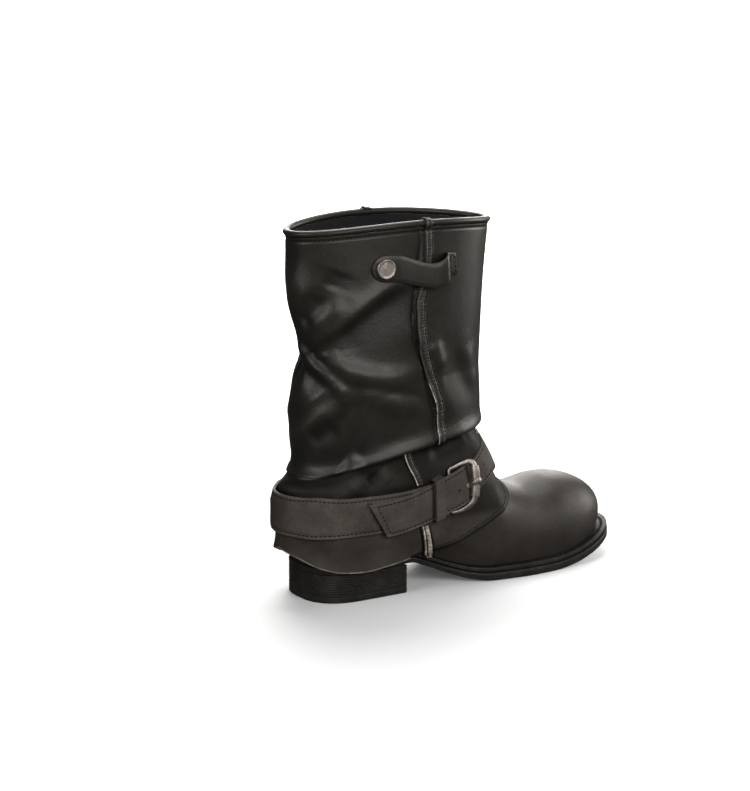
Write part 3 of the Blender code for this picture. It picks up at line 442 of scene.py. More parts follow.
# Lights in metres and watts: place, width and height, power and whether gloss mirrors it
LIGHTS = {
    "top_box": ((0.55, 0.7, 1.9), (1.2, 1.0), 31.0, True),
    "front_strip": ((-0.1, -2.0, 1.05), (2.2, 0.75), 30.0, True),
    "low_fill": ((-0.1, -1.8, 0.25), (2.4, 0.5), 8.0, False),
    "left_key": ((-1.8, -0.4, 0.95), (0.8, 1.0), 13.0, True),
    "side_box": ((1.95, -0.2, 0.62), (0.8, 1.1), 21.0, True),
    "back_box": ((1.25, 1.95, 0.8), (1.6, 0.9), 38.0, True),
}
LIGHT_AIM = (0.05, 0.0, 0.12)
LIGHT_COLOUR = (1.0, 0.965, 0.915)
SURROUND = 0.06
FLOOR_Z = -0.02
FLOOR_RINGS = (40.0, 400.0, 3000.0, 14000.0)
FLOOR_COLUMNS = 96
# The floor's own light: from and to a distance in metres, and its strength there
FLOOR_GLOW = ((0.1, 0.05), (1.3, 1.0))

# Camera, as fitted to the photograph
VIEW_AZIMUTH = -32.4
VIEW_ELEVATION = 13.2
VIEW_DISTANCE = 2285.0
VIEW_LIMIT = 100.0
VIEW_AIM = (37.3, 10.8, 145.0)
FOCAL_PIXELS = 3000.0
PHOTO_HEIGHT = 791.0


def smooth_curve(table, name):
    """Smooth function of a table's first column that passes through every row and never overshoots."""
    x = np.array(next(iter(table.values())), dtype=float)
    y = np.array(table[name], dtype=float)
    step = np.diff(x)
    rise = np.diff(y) / step
    slope = np.zeros_like(y)
    slope[0], slope[-1] = rise[0], rise[-1]
    for i in range(1, len(x) - 1):
        if rise[i - 1] * rise[i] > 0:
            before = step[i - 1] + 2 * step[i]
            after = 2 * step[i - 1] + step[i]
            slope[i] = (before + after) / (before / rise[i - 1] + after / rise[i])

    def curve(value):
        value = np.clip(np.asarray(value, dtype=float), x[0], x[-1])
        i = np.clip(np.searchsorted(x, value, side="right") - 1, 0, len(x) - 2)
        t = (value - x[i]) / step[i]
        start = (1 + 2 * t) * (1 - t) ** 2 * y[i] + t * (1 - t) ** 2 * step[i] * slope[i]
        end = t * t * (3 - 2 * t) * y[i + 1] + t * t * (t - 1) * step[i] * slope[i + 1]
        return start + end

    return curve


def curves(table):
    """Every column of a table as a smooth function of its first one."""
    return {name: smooth_curve(table, name) for name in list(table)[1:]}


last = curves(LAST)
ridge_line = smooth_curve(RIDGE, "z")
heel_profile = smooth_curve(HEEL_PROFILE, "x")
sole = curves(SOLE)
leg = curves(SHAFT)
hem = curves(HEM)
fold_line = curves(FOLD_LINE)
fold = curves(FOLD)
strap = curves(STRAP)
pull = curves(PULL_SHAPE)


def signed_power(value, power):
    """Power of a value's size, with the value's sign."""
    return np.sign(value) * np.abs(value) ** power


def ramp(value):
    """Smooth step from 0 at 0 to 1 at 1."""
    t = np.clip(value, 0, 1)
    return t * t * (3 - 2 * t)


def hump(value, place, reach):
    """Soft bell, 1 at a place and near 0 beyond twice its reach."""
    return np.exp(-((value - place) / reach) ** 2)


def unit(vectors):
    """Vectors brought to length 1."""
    return vectors / np.maximum(np.linalg.norm(vectors, axis=-1, keepdims=True), 1e-9)


def floats(*values):
    """Values as arrays of numbers of one common shape."""
    return np.broadcast_arrays(*(np.asarray(value, dtype=float) for value in values))


def centre_y(x):
    """Centre line of the foot, which bends inwards towards the toe."""
    return TOE_BEND * np.clip((x - TOE_BEND_START) / TOE_BEND_LENGTH, 0, TOE_BEND_LIMIT) ** 2


def outsole_top(x):
    """Upper face of the outsole."""
    return sole["bottom"](x) + sole["thickness"](x)


def feather_height(x):
    """Lower edge of the upper, just above the welt."""
    return outsole_top(x) + WELT_THICKNESS + 2 * LAYER_GAP


def foot_field(x, z, side, grow):
    """Squared half width of the foot form at (x, z), below zero outside its side outline."""
    feather = feather_height(x)
    bulge = last["bulge"](x)
    tuck = np.clip((feather + bulge - z) / bulge, 0, 1) ** 2
    half = np.where(side < 0, last["outer"](x), last["inner"](x)) * (1 - last["tuck"](x) * tuck) + grow
    toe = TOE_X - TOE_TUCK * tuck + grow
    heel = heel_profile(z) - grow
    forward = np.clip((x - BALL_X) / (toe - BALL_X), 0, None)
    backward = np.clip((HEEL_CENTRE_X - x) / (HEEL_CENTRE_X - heel), 0, None)
    plan = np.minimum(
        signed_power(1 - forward ** TOE_POWER, 2 / TOE_POWER),
        signed_power(1 - backward ** HEEL_POWER, 2 / HEEL_POWER),
    )
    widest = feather + bulge
    slope = (ridge_line(x + 1) - ridge_line(x - 1)) / 2
    top = ridge_line(x) + grow * np.sqrt(1 + slope * slope)
    past_top = np.clip((x - TOE_TOP_X) / (TOE_X + grow - TOE_TOP_X), 0, None)
    top = widest + (top - widest) * signed_power(1 - past_top ** TOE_PROFILE_POWER, 1 / TOE_PROFILE_POWER)
    share = np.clip(z - widest, 0, None) / np.maximum(top - widest, 1)
    power = last["section"](x)
    section = signed_power(1 - share ** power, 2 / power)
    inside = (plan > 0) & (section > 0)
    return half * half * np.where(inside, plan * section, np.minimum(plan, section))


def in_foot(x, y, z):
    """Whether points lie inside the foot form."""
    off = y - centre_y(x)
    return foot_field(x, z, np.where(off < 0, OUTER, INNER), 0) > off * off


def shaft_field(x, z, side):
    """Squared half width of the shaft's oval at (x, z), below zero outside it."""
    middle = leg["widest"](z)
    length = np.where(x < middle, middle - leg["back"](z), leg["front"](z) - middle)
    half = np.where(side < 0, leg["outer"](z), leg["inner"](z))
    return half * half * signed_power(1 - (np.abs(x - middle) / length) ** SHAFT_POWER, 2 / SHAFT_POWER)


def cover_field(x, y, z):
    """Above zero inside the shaft's outer face, which wraps the foot below and the leg above."""
    off = y - centre_y(x) * ramp((LEG_START_Z - z) / LEG_FADE)
    side = np.where(off < 0, OUTER, INNER)
    foot = np.maximum(foot_field(x, z, side, SHAFT_EASE), FIELD_FLOOR)
    shaft = np.maximum(shaft_field(x, z, side), FIELD_FLOOR)
    blend = COVER_BLEND * ramp((COVER_BLEND_TOP - z) / COVER_BLEND_FADE)
    return (foot + shaft + np.sqrt((foot - shaft) ** 2 + blend * blend)) / 2 - off * off


def solve(inside, shape):
    """Distance along each ray at which a test turns from inside to outside."""
    near = np.full(shape, RAY_START)
    far = np.full(shape, RAY_LIMIT)
    for _ in range(SOLVE_STEPS):
        middle = (near + far) / 2
        held = inside(middle)
        near = np.where(held, middle, near)
        far = np.where(held, far, middle)
    return near


def shaft_base(angle, z):
    """Point of the shaft's outer face without folds, and its outward direction along the floor."""
    turn = np.radians(angle)
    cos, sin = np.cos(turn), np.sin(turn)
    reach = solve(lambda r: cover_field(AXIS_X + r * cos, r * sin, z) > 0, angle.shape)
    x, y = AXIS_X + reach * cos, reach * sin
    across = cover_field(x + FIELD_STEP, y, z) - cover_field(x - FIELD_STEP, y, z)
    along = cover_field(x, y + FIELD_STEP, z) - cover_field(x, y - FIELD_STEP, z)
    outward = unit(np.stack([-across, -along, np.zeros_like(x)], axis=-1))
    return np.stack([x, y, z], axis=-1), outward


TURNS = np.linspace(0, math.pi, WRAP_STEPS)
SPEED = np.hypot(WRAP_LONG * np.sin(TURNS), WRAP_WIDE * np.cos(TURNS))
RUN = np.concatenate([[0], np.cumsum((SPEED[1:] + SPEED[:-1]) / 2 * np.diff(TURNS))])
HALF_ROUND = RUN[-1]


def even_turn(angle):
    """Turn round the shaft's oval, nearly even along it, for an angle about the axis."""
    turn = np.radians(angle)
    return np.arctan2(np.sin(turn) / CROWDING, np.cos(turn))


def crowded_angle(turn, crowding):
    """Angle about the axis for such a turn, crowded to the front and back."""
    return np.degrees(np.arctan2(crowding * np.sin(turn), np.cos(turn)))


def wrap(angle):
    """Distance round the shaft from its back line, positive on the outer side."""
    turn = even_turn(angle)
    return np.where(turn < 0, 1, -1) * (HALF_ROUND - np.interp(np.abs(turn), TURNS, RUN))


def crease_height(around, z):
    """How far the placed creases push the leather out or in."""
    total = np.zeros_like(around)
    for height, above, below, points in CREASES:
        points = np.array(points, dtype=float)
        best = np.full(around.shape, 1e9)
        signed = np.zeros_like(around)
        place = np.zeros_like(around)
        length = np.concatenate([[0], np.cumsum(np.hypot(*np.diff(points, axis=0).T))])
        for i, (start, stop) in enumerate(zip(points[:-1], points[1:])):
            run = stop - start
            du = (around - start[0] + HALF_ROUND) % (2 * HALF_ROUND) - HALF_ROUND
            dz = z - start[1]
            along = np.clip((du * run[0] + dz * run[1]) / (run @ run), 0, 1)
            off_u, off_z = du - along * run[0], dz - along * run[1]
            distance = np.hypot(off_u, off_z)
            nearer = distance < best
            best = np.where(nearer, distance, best)
            side = (run[0] * off_z - run[1] * off_u) * (1 if run[0] >= 0 else -1)
            signed = np.where(nearer, side, signed)
            place = np.where(nearer, length[i] + along * (length[i + 1] - length[i]), place)
        width = np.where(signed > 0, above, below)
        end = CREASE_FADE * length[-1]
        fade = CREASE_END + (1 - CREASE_END) * ramp(np.minimum(place, length[-1] - place) / end)
        total += height * fade * hump(best, 0, width)
    return total


def fold_at(angle):
    """Height of the fold line at an angle, and how strong the fold is there."""
    around = np.abs(wrap(angle))
    return fold_line["z"](around), fold_line["depth"](around)


def rim_height(angle):
    """Top edge of the shaft, higher at its sides, at its back than its front and on its outer side."""
    turn = even_turn(angle)
    tilt = RIM_BACK_RISE * np.cos(turn) + RIM_OUTER_RISE * np.sin(turn)
    return RIM_Z - RIM_SADDLE * np.cos(2 * turn) - tilt


def hem_flare(angle, height):
    """How far the leather stands off near its hem."""
    turn = np.abs((angle + 180) % 360 - 180)
    return hem["flare"](turn) * np.clip(1 - (height - hem["z"](turn)) / HEM_FLARE_HEIGHT, 0, 1) ** 2


def leather(angle, height, creased=True):
    """Point of the shaft's outer face at an angle and a height measured along the leather."""
    angle, height = floats(angle, height)
    fold_z, depth = fold_at(angle)
    above = height - fold_z
    z = height + depth * (fold["hang"](above) - np.clip(above, FOLD["leather"][0], FOLD["leather"][-1]))
    base, outward = shaft_base(angle, height)
    out = depth * fold["out"](above) + hem_flare(angle, height)
    if creased:
        out = out + crease_height(wrap(angle), height)
        drop = rim_height(angle) - height
        out = out - COLLAR_GROOVE * hump(drop, COLLAR_SEAM_DROP, COLLAR_GROOVE_REACH)
    point = base + outward * out[..., None]
    point[..., 2] = z
    return point


def leather_offset(angle, height, lift, creased=True):
    """Point that stands a given height off the shaft's outer face."""
    angle, height, lift = floats(angle, height, lift)
    step = NORMAL_STEP
    across = leather(angle + step, height, creased) - leather(angle - step, height, creased)
    upward = leather(angle, height + step, creased) - leather(angle, height - step, creased)
    normal = unit(np.cross(across, upward))
    return leather(angle, height, creased) + normal * lift[..., None], normal


def strap_point(angle, across, lift):
    """Point in the strap's frame: angle along it, share of its half width across it, height off the shaft."""
    return leather_offset(angle, strap["z"](angle) + across * strap["half"](angle), lift, creased=False)


def foot_ring(angle, height):
    """Ring of the foot form where it has the height that a function of x and the angle gives."""
    cos, sin = np.cos(angle), np.sin(angle)
    reach = solve(lambda r: in_foot(AXIS_X + r * cos, r * sin, height(AXIS_X + r * cos)), angle.shape)
    x = AXIS_X + reach * cos
    return np.stack([x, reach * sin, height(x)], axis=-1)


def foot_point(angle, tilt):
    """Point of the upper's outer face on the ray from the fan point at two angles in radians."""
    ray = np.stack([np.cos(angle) * np.cos(tilt), np.sin(angle) * np.cos(tilt), np.sin(tilt)], axis=-1)

    def inside(reach):
        return in_foot(*np.moveaxis(FAN_POINT + ray * reach[..., None], -1, 0))

    return FAN_POINT + ray * solve(inside, angle.shape)[..., None]


def outline_ends(reach):
    """Rearmost and foremost x of the sole's outline, a given reach outside the upper's lower edge."""
    back = heel_profile(feather_height(HEEL_CENTRE_X))
    front = TOE_X - TOE_TUCK
    return back - reach(back), front + reach(front)


def outline_loop(reach, count):
    """Closed loop of (x, y) round the sole's outline, anticlockwise from the heel."""
    start, stop = outline_ends(reach)
    x = start + (stop - start) * (1 - np.cos(np.linspace(0, math.pi, count // 2 + 1))) / 2
    halves = []
    for side in (OUTER, INNER):
        field = foot_field(x, feather_height(x), np.full_like(x, side), reach(x))
        half = np.sqrt(np.clip(field, 0, None))
        half[0] = half[-1] = 0
        halves.append(np.stack([x, centre_y(x) + side * half], axis=-1))
    return np.concatenate([halves[0], halves[1][-2:0:-1]])


# Mesh helpers
def full_turn(count):
    """Even turns of a full circle."""
    return np.linspace(0, 2 * math.pi, count, endpoint=False)


def grid_faces(rows, columns, close_columns=False, close_rows=False):
    """Quads of a grid of points, numbered row by row."""
    index = np.arange(rows * columns).reshape(rows, columns)
    if close_columns:
        index = np.concatenate([index, index[:, :1]], axis=1)
    if close_rows:
        index = np.concatenate([index, index[:1]], axis=0)
    quads = np.stack([index[:-1, :-1], index[:-1, 1:], index[1:, 1:], index[1:, :-1]], axis=-1)
    return quads.reshape(-1, 4)


def add_object(name, data):
    """Object in the scene for a mesh, light or camera."""
    item = bpy.data.objects.new(name, data)
    bpy.context.scene.collection.objects.link(item)
    return item


def add_piece(name, shape, materials, replaces=(), kinds=None, tone=None):
    """Piece of the boot from points and faces, with a material kind to each face and a tone to each point."""
    points, faces = shape
    data = bpy.data.meshes.new(name)
    data.from_pydata((np.asarray(points).reshape(-1, 3) * MM).tolist(), [], [list(face) for face in faces])
    mesh = bmesh.new()
    mesh.from_mesh(data)
    if kinds is not None:
        mesh.faces.ensure_lookup_table()
        for face, kind in zip(mesh.faces, kinds):
            face.material_index = int(kind)
    bmesh.ops.remove_doubles(mesh, verts=mesh.verts, dist=MERGE_DISTANCE * MM)
    bmesh.ops.recalc_face_normals(mesh, faces=mesh.faces)
    mesh.to_mesh(data)
    mesh.free()
    data.shade_smooth()
    data.set_sharp_from_angle(angle=math.radians(SMOOTH_ANGLE))
    if tone is not None:
        data.attributes.new("tone", "FLOAT", "POINT").data.foreach_set("value", np.ravel(tone).tolist())
    for material in materials:
        data.materials.append(material)
    piece = add_object(name, data)
    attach(piece, "root")
    if replaces:
        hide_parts(*replaces)


def sweep_round(rows):
    """Points and faces of a closed section swept round a closed loop."""
    rows = np.asarray(rows)
    return rows.reshape(-1, 3), grid_faces(*rows.shape[:2], close_columns=True, close_rows=True).tolist()


def sweep_along(rows):
    """Points and faces of a closed section swept along a line, with flat ends."""
    rows = np.asarray(rows)
    count, columns = rows.shape[:2]
    faces = grid_faces(count, columns, close_rows=True).tolist()
    faces.append([i * columns for i in range(count)])
    faces.append([i * columns + columns - 1 for i in range(count)])
    return rows.reshape(-1, 3), faces


def stack(rows):
    """Points and faces of closed loops stacked up, with a flat face at each end."""
    rows = np.asarray(rows)
    count, columns = rows.shape[:2]
    faces = grid_faces(count, columns, close_columns=True).tolist()
    faces.append(list(range(columns)))
    faces.append([(count - 1) * columns + i for i in range(columns)])
    return rows.reshape(-1, 3), faces


def merge(shapes):
    """Several (points, faces) shapes as one."""
    points, faces, start = [], [], 0
    for shape_points, shape_faces in shapes:
        shape_points = np.asarray(shape_points).reshape(-1, 3)
        points.append(shape_points)
        faces += [[index + start for index in face] for face in shape_faces]
        start += len(shape_points)
    return np.concatenate(points), faces


def thread(points, normals, kind):
    """Row of stitches along a line: each a short rounded bead that follows the line and sinks at its ends."""
    pitch, length, width, height = STITCHES[kind]
    step = np.linalg.norm(np.diff(points, axis=0), axis=1)
    run = np.concatenate([[0], np.cumsum(step)])
    count = max(2, int(run[-1] / pitch))
    starts = (np.arange(count) + 0.5) * run[-1] / count - length / 2
    share = np.array(BEAD_SHARES)
    swell = np.array(BEAD_SWELL)
    place = starts[:, None] + share * length
    line = np.stack([np.interp(place, run, points[:, axis]) for axis in range(3)], axis=-1)
    up = unit(np.stack([np.interp(place, run, normals[:, axis]) for axis in range(3)], axis=-1))
    along = unit(np.gradient(line, axis=1))
    side = np.cross(along, up)
    turns = full_turn(BEAD_SIDES)
    ring = side[:, :, None] * np.cos(turns)[:, None] * width / 2
    ring = ring + up[:, :, None] * (np.sin(turns)[:, None] * height / 2)
    beads = line[:, :, None] + ring * np.maximum(swell, BEAD_TIP)[:, None, None]
    beads = beads + up[:, :, None] * ((swell - 1)[:, None, None] * height * BEAD_SINK)
    return merge(stack(bead) for bead in beads)


# Materials
TONE_SCALE = (0.1, 1.9)
FLECK_SCALE = 1100.0
FLECK_DETAIL = 2.0
# Detail, roughness and distortion of the mottled colour
MOTTLE = (6.0, 0.62, 0.4)
GLOSS_SCALE = 2.3
GLOSS_DETAIL = 5.0
BUMP_DETAIL = 4.0
MATT_GRAIN = (("noise", 240.0, 0.2, 0.7), ("noise", 900.0, 0.4, 0.35), ("cells", 1300.0, 0.2, 0.2))


def fill(tree, node, inputs):
    """Set a shader node's inputs to values, or join them to other nodes' outputs."""
    for name, value in inputs.items():
        if isinstance(value, bpy.types.NodeSocket):
            tree.links.new(value, node.inputs[name])
        else:
            node.inputs[name].default_value = value


def add_node(tree, kind, inputs, **settings):
    """Shader node with its settings and inputs."""
    node = tree.nodes.new("ShaderNode" + kind)
    for name, value in settings.items():
        setattr(node, name, value)
    fill(tree, node, inputs)
    return node


def own_place(tree):
    """Place in the boot's own frame."""
    return add_node(tree, "TexCoord", {}).outputs["Object"]


def noise(tree, scale, detail=3.0, roughness=0.55, distortion=0.0):
    """Noise with a scale in features to the metre."""
    inputs = {"Scale": scale, "Detail": detail, "Roughness": roughness, "Distortion": distortion}
    return add_node(tree, "TexNoise", {"Vector": own_place(tree), **inputs}).outputs["Fac"]


def cells(tree, scale):
    """Cell pattern, as in leather grain."""
    inputs = {"Vector": own_place(tree), "Scale": scale}
    return add_node(tree, "TexVoronoi", inputs, feature="DISTANCE_TO_EDGE").outputs["Distance"]


def colour_ramp(tree, source, stops):
    """Colours through stops of (place, colour) as a pattern goes from 0 to 1."""
    node = add_node(tree, "ValToRGB", {"Fac": source})
    elements = node.color_ramp.elements
    elements[0].position, elements[0].color = stops[0][0], (*stops[0][1], 1)
    elements[1].position, elements[1].color = stops[-1][0], (*stops[-1][1], 1)
    for place, colour in stops[1:-1]:
        elements.new(place).color = (*colour, 1)
    return node.outputs["Color"]


def spread(tree, source, low, high, start=0.3, stop=0.7):
    """Values from low to high as a pattern goes from start to stop."""
    inputs = {"Value": source, "From Min": start, "From Max": stop, "To Min": low, "To Max": high}
    return add_node(tree, "MapRange", inputs).outputs["Result"]


def bump(tree, source, strength, distance, before):
    """Fine relief from a pattern, on top of an earlier one if there is one."""
    inputs = {"Strength": strength, "Distance": distance * MM, "Height": source}
    if before is not None:
        inputs["Normal"] = before
    return add_node(tree, "Bump", inputs).outputs["Normal"]


def flecked(tree, source, amount):
    """Pattern with a share of fine noise added to it."""
    inputs = {0: noise(tree, FLECK_SCALE, FLECK_DETAIL), 1: amount, 2: -amount / 2}
    fine = add_node(tree, "Math", inputs, operation="MULTIPLY_ADD").outputs["Value"]
    return add_node(tree, "Math", {0: source, 1: fine}, operation="ADD").outputs["Value"]


def make_material(name, stops, rough, mottle, bumps, metallic=0.0, ior=1.3, fleck=0.3):
    """Procedural material: mottled colour and roughness, and bumps of (pattern, scale, strength, depth).

    The colour is darker where a mesh's own "tone" is below zero and lighter where it is above; on the leather
    pieces the tone mostly holds painted shade and highlights.
    """
    material = bpy.data.materials.new(name)
    material.use_nodes = True
    tree = material.node_tree
    colour = colour_ramp(tree, flecked(tree, noise(tree, mottle, *MOTTLE), fleck), stops)
    tone = add_node(tree, "Attribute", {}, attribute_name="tone").outputs["Fac"]
    tone = spread(tree, tone, *TONE_SCALE, -1.0, 1.0)
    toned = add_node(tree, "VectorMath", {0: colour, "Scale": tone}, operation="SCALE")
    normal = None
    for pattern, scale, strength, depth in bumps:
        source = cells(tree, scale) if pattern == "cells" else noise(tree, scale, BUMP_DETAIL)
        normal = bump(tree, source, strength, depth, normal)
    fill(tree, tree.nodes["Principled BSDF"], {
        "Base Color": toned.outputs["Vector"],
        "Roughness": spread(tree, noise(tree, mottle * GLOSS_SCALE, GLOSS_DETAIL), *rough),
        "Metallic": metallic,
        "IOR": ior,
        "Normal": normal,
    })
    return material


LEATHER = make_material(
    "waxed_leather",
    ((0.28, (0.0080, 0.0071, 0.0056)), (0.52, (0.0130, 0.0115, 0.0091)), (0.75, (0.0214, 0.0188, 0.0154))),
    (0.35, 0.45), 26.0,
    (("noise", 150.0, 0.10, 1.0), ("noise", 620.0, 0.3, 0.35), ("cells", 900.0, 0.25, 0.25)),
    ior=1.46,
)
ANKLE_LEATHER = make_material(
    "ankle_leather",
    ((0.28, (0.0126, 0.0109, 0.0091)), (0.52, (0.0200, 0.0173, 0.0146)), (0.75, (0.0305, 0.0265, 0.0228))),
    (0.46, 0.58), 30.0,
    MATT_GRAIN,
    ior=1.28,
)
VAMP = make_material(
    "matt_leather",
    ((0.28, (0.0155, 0.0132, 0.0111)), (0.52, (0.0240, 0.0205, 0.0175)), (0.75, (0.0350, 0.0301, 0.0261))),
    (0.45, 0.56), 30.0,
    MATT_GRAIN,
    ior=1.42,
)
STRAP_LEATHER = make_material(
    "strap_leather",
    ((0.25, (0.0360, 0.0317, 0.0279)), (0.52, (0.0625, 0.0552, 0.0487)), (0.78, (0.0910, 0.0810, 0.0722))),
    (0.60, 0.75), 42.0,
    (("noise", 300.0, 0.3, 0.6), ("noise", 1000.0, 0.5, 0.35)),
    ior=1.3,
    fleck=0.7,
)
SEAM_LEATHER = make_material(
    "seam_leather",
    ((0.28, (0.0150, 0.0132, 0.0112)), (0.52, (0.0270, 0.0237, 0.0202)), (0.75, (0.0460, 0.0408, 0.0355))),
    (0.34, 0.50), 90.0,
    (("noise", 420.0, 0.6, 0.8), ("noise", 1200.0, 0.4, 0.3)),
    ior=1.42,
)
RAW_EDGE = make_material(
    "raw_edge",
    ((0.3, (0.040, 0.036, 0.032)), (0.7, (0.125, 0.114, 0.103))),
    (0.6, 0.8), 120.0,
    (("noise", 900.0, 0.5, 0.3),),
)
# Pale leather of worn edges, also used as painted highlight on the seam strips
WORN_AND_HIGHLIT_LEATHER = make_material(
    "worn_and_highlit_leather",
    ((0.32, (0.060, 0.050, 0.042)), (0.5, (0.25, 0.228, 0.198)), (0.7, (0.50, 0.46, 0.41))),
    (0.45, 0.6), 260.0,
    (("noise", 700.0, 0.5, 0.4),),
    fleck=0.5,
)
LINING = make_material(
    "lining",
    ((0.3, (0.007, 0.007, 0.009)), (0.7, (0.016, 0.016, 0.020))),
    (0.6, 0.75), 50.0,
    (("noise", 700.0, 0.4, 0.3), ("cells", 1500.0, 0.3, 0.2)),
)
THREAD = make_material(
    "thread",
    ((0.3, (0.003, 0.003, 0.003)), (0.7, (0.009, 0.008, 0.007))),
    (0.6, 0.75), 300.0,
    (("noise", 3000.0, 0.5, 0.2),),
)
SEAM_THREAD = make_material(
    "seam_thread",
    ((0.3, (0.016, 0.014, 0.012)), (0.7, (0.040, 0.036, 0.031))),
    (0.5, 0.65), 300.0,
    (("noise", 3000.0, 0.5, 0.2),),
)
RUBBER = make_material(
    "sole_edge",
    ((0.3, (0.0110, 0.0106, 0.0098)), (0.55, (0.0205, 0.0194, 0.0180)), (0.75, (0.038, 0.0355, 0.033))),
    (0.45, 0.62), 60.0,
    (("noise", 500.0, 0.3, 0.4), ("noise", 1600.0, 0.4, 0.2)),
)
METAL = make_material(
    "aged_nickel",
    ((0.3, (0.24, 0.212, 0.198)), (0.55, (0.44, 0.396, 0.376)), (0.75, (0.62, 0.565, 0.54))),
    (0.40, 0.56), 160.0,
    (("noise", 1200.0, 0.25, 0.2),),
    metallic=1.0,
)
FLOOR = make_material(
    "studio_floor",
    ((0.3, (0.87, 0.90, 0.945)), (0.7, (0.89, 0.92, 0.965))),
    (0.6, 0.7), 3.0,
    (("noise", 60.0, 0.02, 0.2),),
)


def add_far_glow(material):
    """Light given off by the floor, faint at the boot and stronger far away, so that it stays white there."""
    (start, near), (stop, far) = FLOOR_GLOW
    tree = material.node_tree
    away = add_node(tree, "VectorMath", {0: own_place(tree)}, operation="LENGTH").outputs["Value"]
    glow = spread(tree, away, near, far, start, stop)
    inputs = {"Emission Color": (1.0, 1.0, 1.0, 1), "Emission Strength": glow}
    fill(tree, tree.nodes["Principled BSDF"], inputs)


add_far_glow(FLOOR)


def row_normals(points):
    """Outward normals of a grid of points with rows going up and columns closed, anticlockwise."""
    across = np.roll(points, -1, axis=1) - np.roll(points, 1, axis=1)
    upward = np.gradient(points, axis=0)
    return unit(np.cross(across, upward))


def stages(start, *targets):
    """Rows of heights from a start through targets, each with its own number of rows."""
    rows = [start]
    for stop, count in targets:
        begin = rows[-1]
        rows += [begin + (stop - begin) * step / count for step in range(1, count + 1)]
    return np.array(rows)


def shaft_angles():
    """Angles of the columns of the shaft's mesh."""
    turn = np.concatenate([
        np.linspace(-math.pi, 0, SHAFT_COLUMNS[0], endpoint=False),
        np.linspace(0, math.pi, SHAFT_COLUMNS[1], endpoint=False),
    ])
    return crowded_angle(turn, CROWDING)


def shade(value, shape):
    """Hump with a strength, place and reach."""
    strength, place, reach = shape
    return strength * hump(value, place, reach)


def leather_tone(angle, height):
    """How light the leather is, from -1 to 1.

    It is lighter on ridges, partly as pull-up leather and partly as painted highlight, has a painted
    highlight on the fold's lip and painted floor bounce below the strap, and is darker as painted shade in
    troughs, under the fold and at the ankle, and as a painted shadow just above the strap.
    """
    fold_z, depth = fold_at(angle)
    above = height - fold_z
    # Crease ridges lighter, partly pull-up leather and partly painted highlight; troughs darker as painted
    # shade
    tone = crease_height(wrap(angle), height) / CREASE_TONE
    # Painted highlight on the fold's lip and painted shade in the crevice below it
    tone = tone + depth * (shade(above, FOLD_HIGHLIGHT) - shade(above, FOLD_SHADE))
    # Painted shade at the ankle under the fold's overhang
    painted_shade, drop, fade = ANKLE_SHADE
    ankle = ramp((fold_z - drop - height) / fade)
    tone = tone * (1 + ANKLE_CONTRAST * ankle) - painted_shade * ankle
    # Painted shadow of the strap on the leather just above its upper edge
    turn = (angle + 180) % 360 - 180
    turn = np.where(turn > STRAP_START_ANGLE, turn - 360, turn)
    over = height - strap["z"](turn) - strap["half"](turn)
    tone = tone - shade(over, SHADOW_ABOVE_STRAP)
    # Painted floor bounce lightens the leather below the strap
    light, top, fade = QUARTER_BOUNCE
    return np.clip(tone + light * ramp((top - height) / fade), -1, 1)


def lining_rows(angle, heights):
    """Inner face of the shaft, which keeps clear of the folds and creases that go inwards."""
    angle, heights = floats(angle, heights)
    base, outward = shaft_base(angle, heights)
    fold_z, depth = fold_at(angle)
    out = depth * np.minimum(fold["out"](heights - fold_z), 0)
    out = out + hem_flare(angle, heights) + np.minimum(crease_height(wrap(angle), heights), 0)
    ends = np.concatenate([out[:1], out, out[-1:]])
    out = np.minimum(np.minimum(ends[:-2], ends[1:-1]), ends[2:])
    return base + outward * (out - SHAFT_WALL)[..., None]


def build_shaft():
    """The loose leather cover with its folds, its lining, its raw hem and the stitches along it."""
    angle = shaft_angles()
    hem_z = hem["z"](np.abs(angle))
    rim_z = rim_height(angle)
    lines = {"hem": hem_z, "fold": fold_at(angle)[0], "rim": rim_z}
    heights = stages(hem_z, *((lines[name] + rise, count) for name, rise, count in SHAFT_ROWS))
    turns = np.broadcast_to(angle, heights.shape)
    outside = leather(turns, heights)
    tone = leather_tone(turns, heights)
    inside = lining_rows(angle, stages(hem_z, (rim_z, LINING_ROWS)))
    edge = (outside[0] + inside[0]) / 2 - np.array([0, 0, HEM_EDGE_DROP])
    rows = np.concatenate([inside[::-1], edge[None], outside])
    # Painted shadow: the two lowest rows at the front are darkened, as the shade along the hem's edge over
    # the vamp
    painted_shade = np.abs(angle) < HEM_SHADOW_ANGLE
    tone[:2, painted_shade] = -1
    tone = np.concatenate([np.zeros((len(inside) + 1, len(angle))), tone])
    skins = (LEATHER, LINING, RAW_EDGE, ANKLE_LEATHER)
    lining, raw, ankle = 1, 2, 3
    start = len(inside)
    kinds = np.zeros((len(rows), len(angle)), dtype=int)
    kinds[: start - 1] = lining
    kinds[start - 1: start + 2] = raw
    kinds[start + 1, painted_shade] = ankle
    kinds[start + 2: start + ANKLE_ROWS] = ankle
    kinds[-1] = lining
    add_piece("shaft_leather", sweep_round(rows), skins, ("shaft",), kinds.ravel(), tone)
    front = np.abs(angle) < HEM_STITCH_ANGLE
    line = leather_offset(angle[front], hem_z[front] + HEM_STITCH, HEM_STITCH_LIFT)
    add_piece("hem_stitches", thread(*line, "hem"), (THREAD,))


def throat_height(angle):
    """Top edge of the upper, hidden inside the shaft."""
    turn = np.abs((np.degrees(angle) + 180) % 360 - 180)
    return hem["z"](turn) + hem["overlap"](turn)


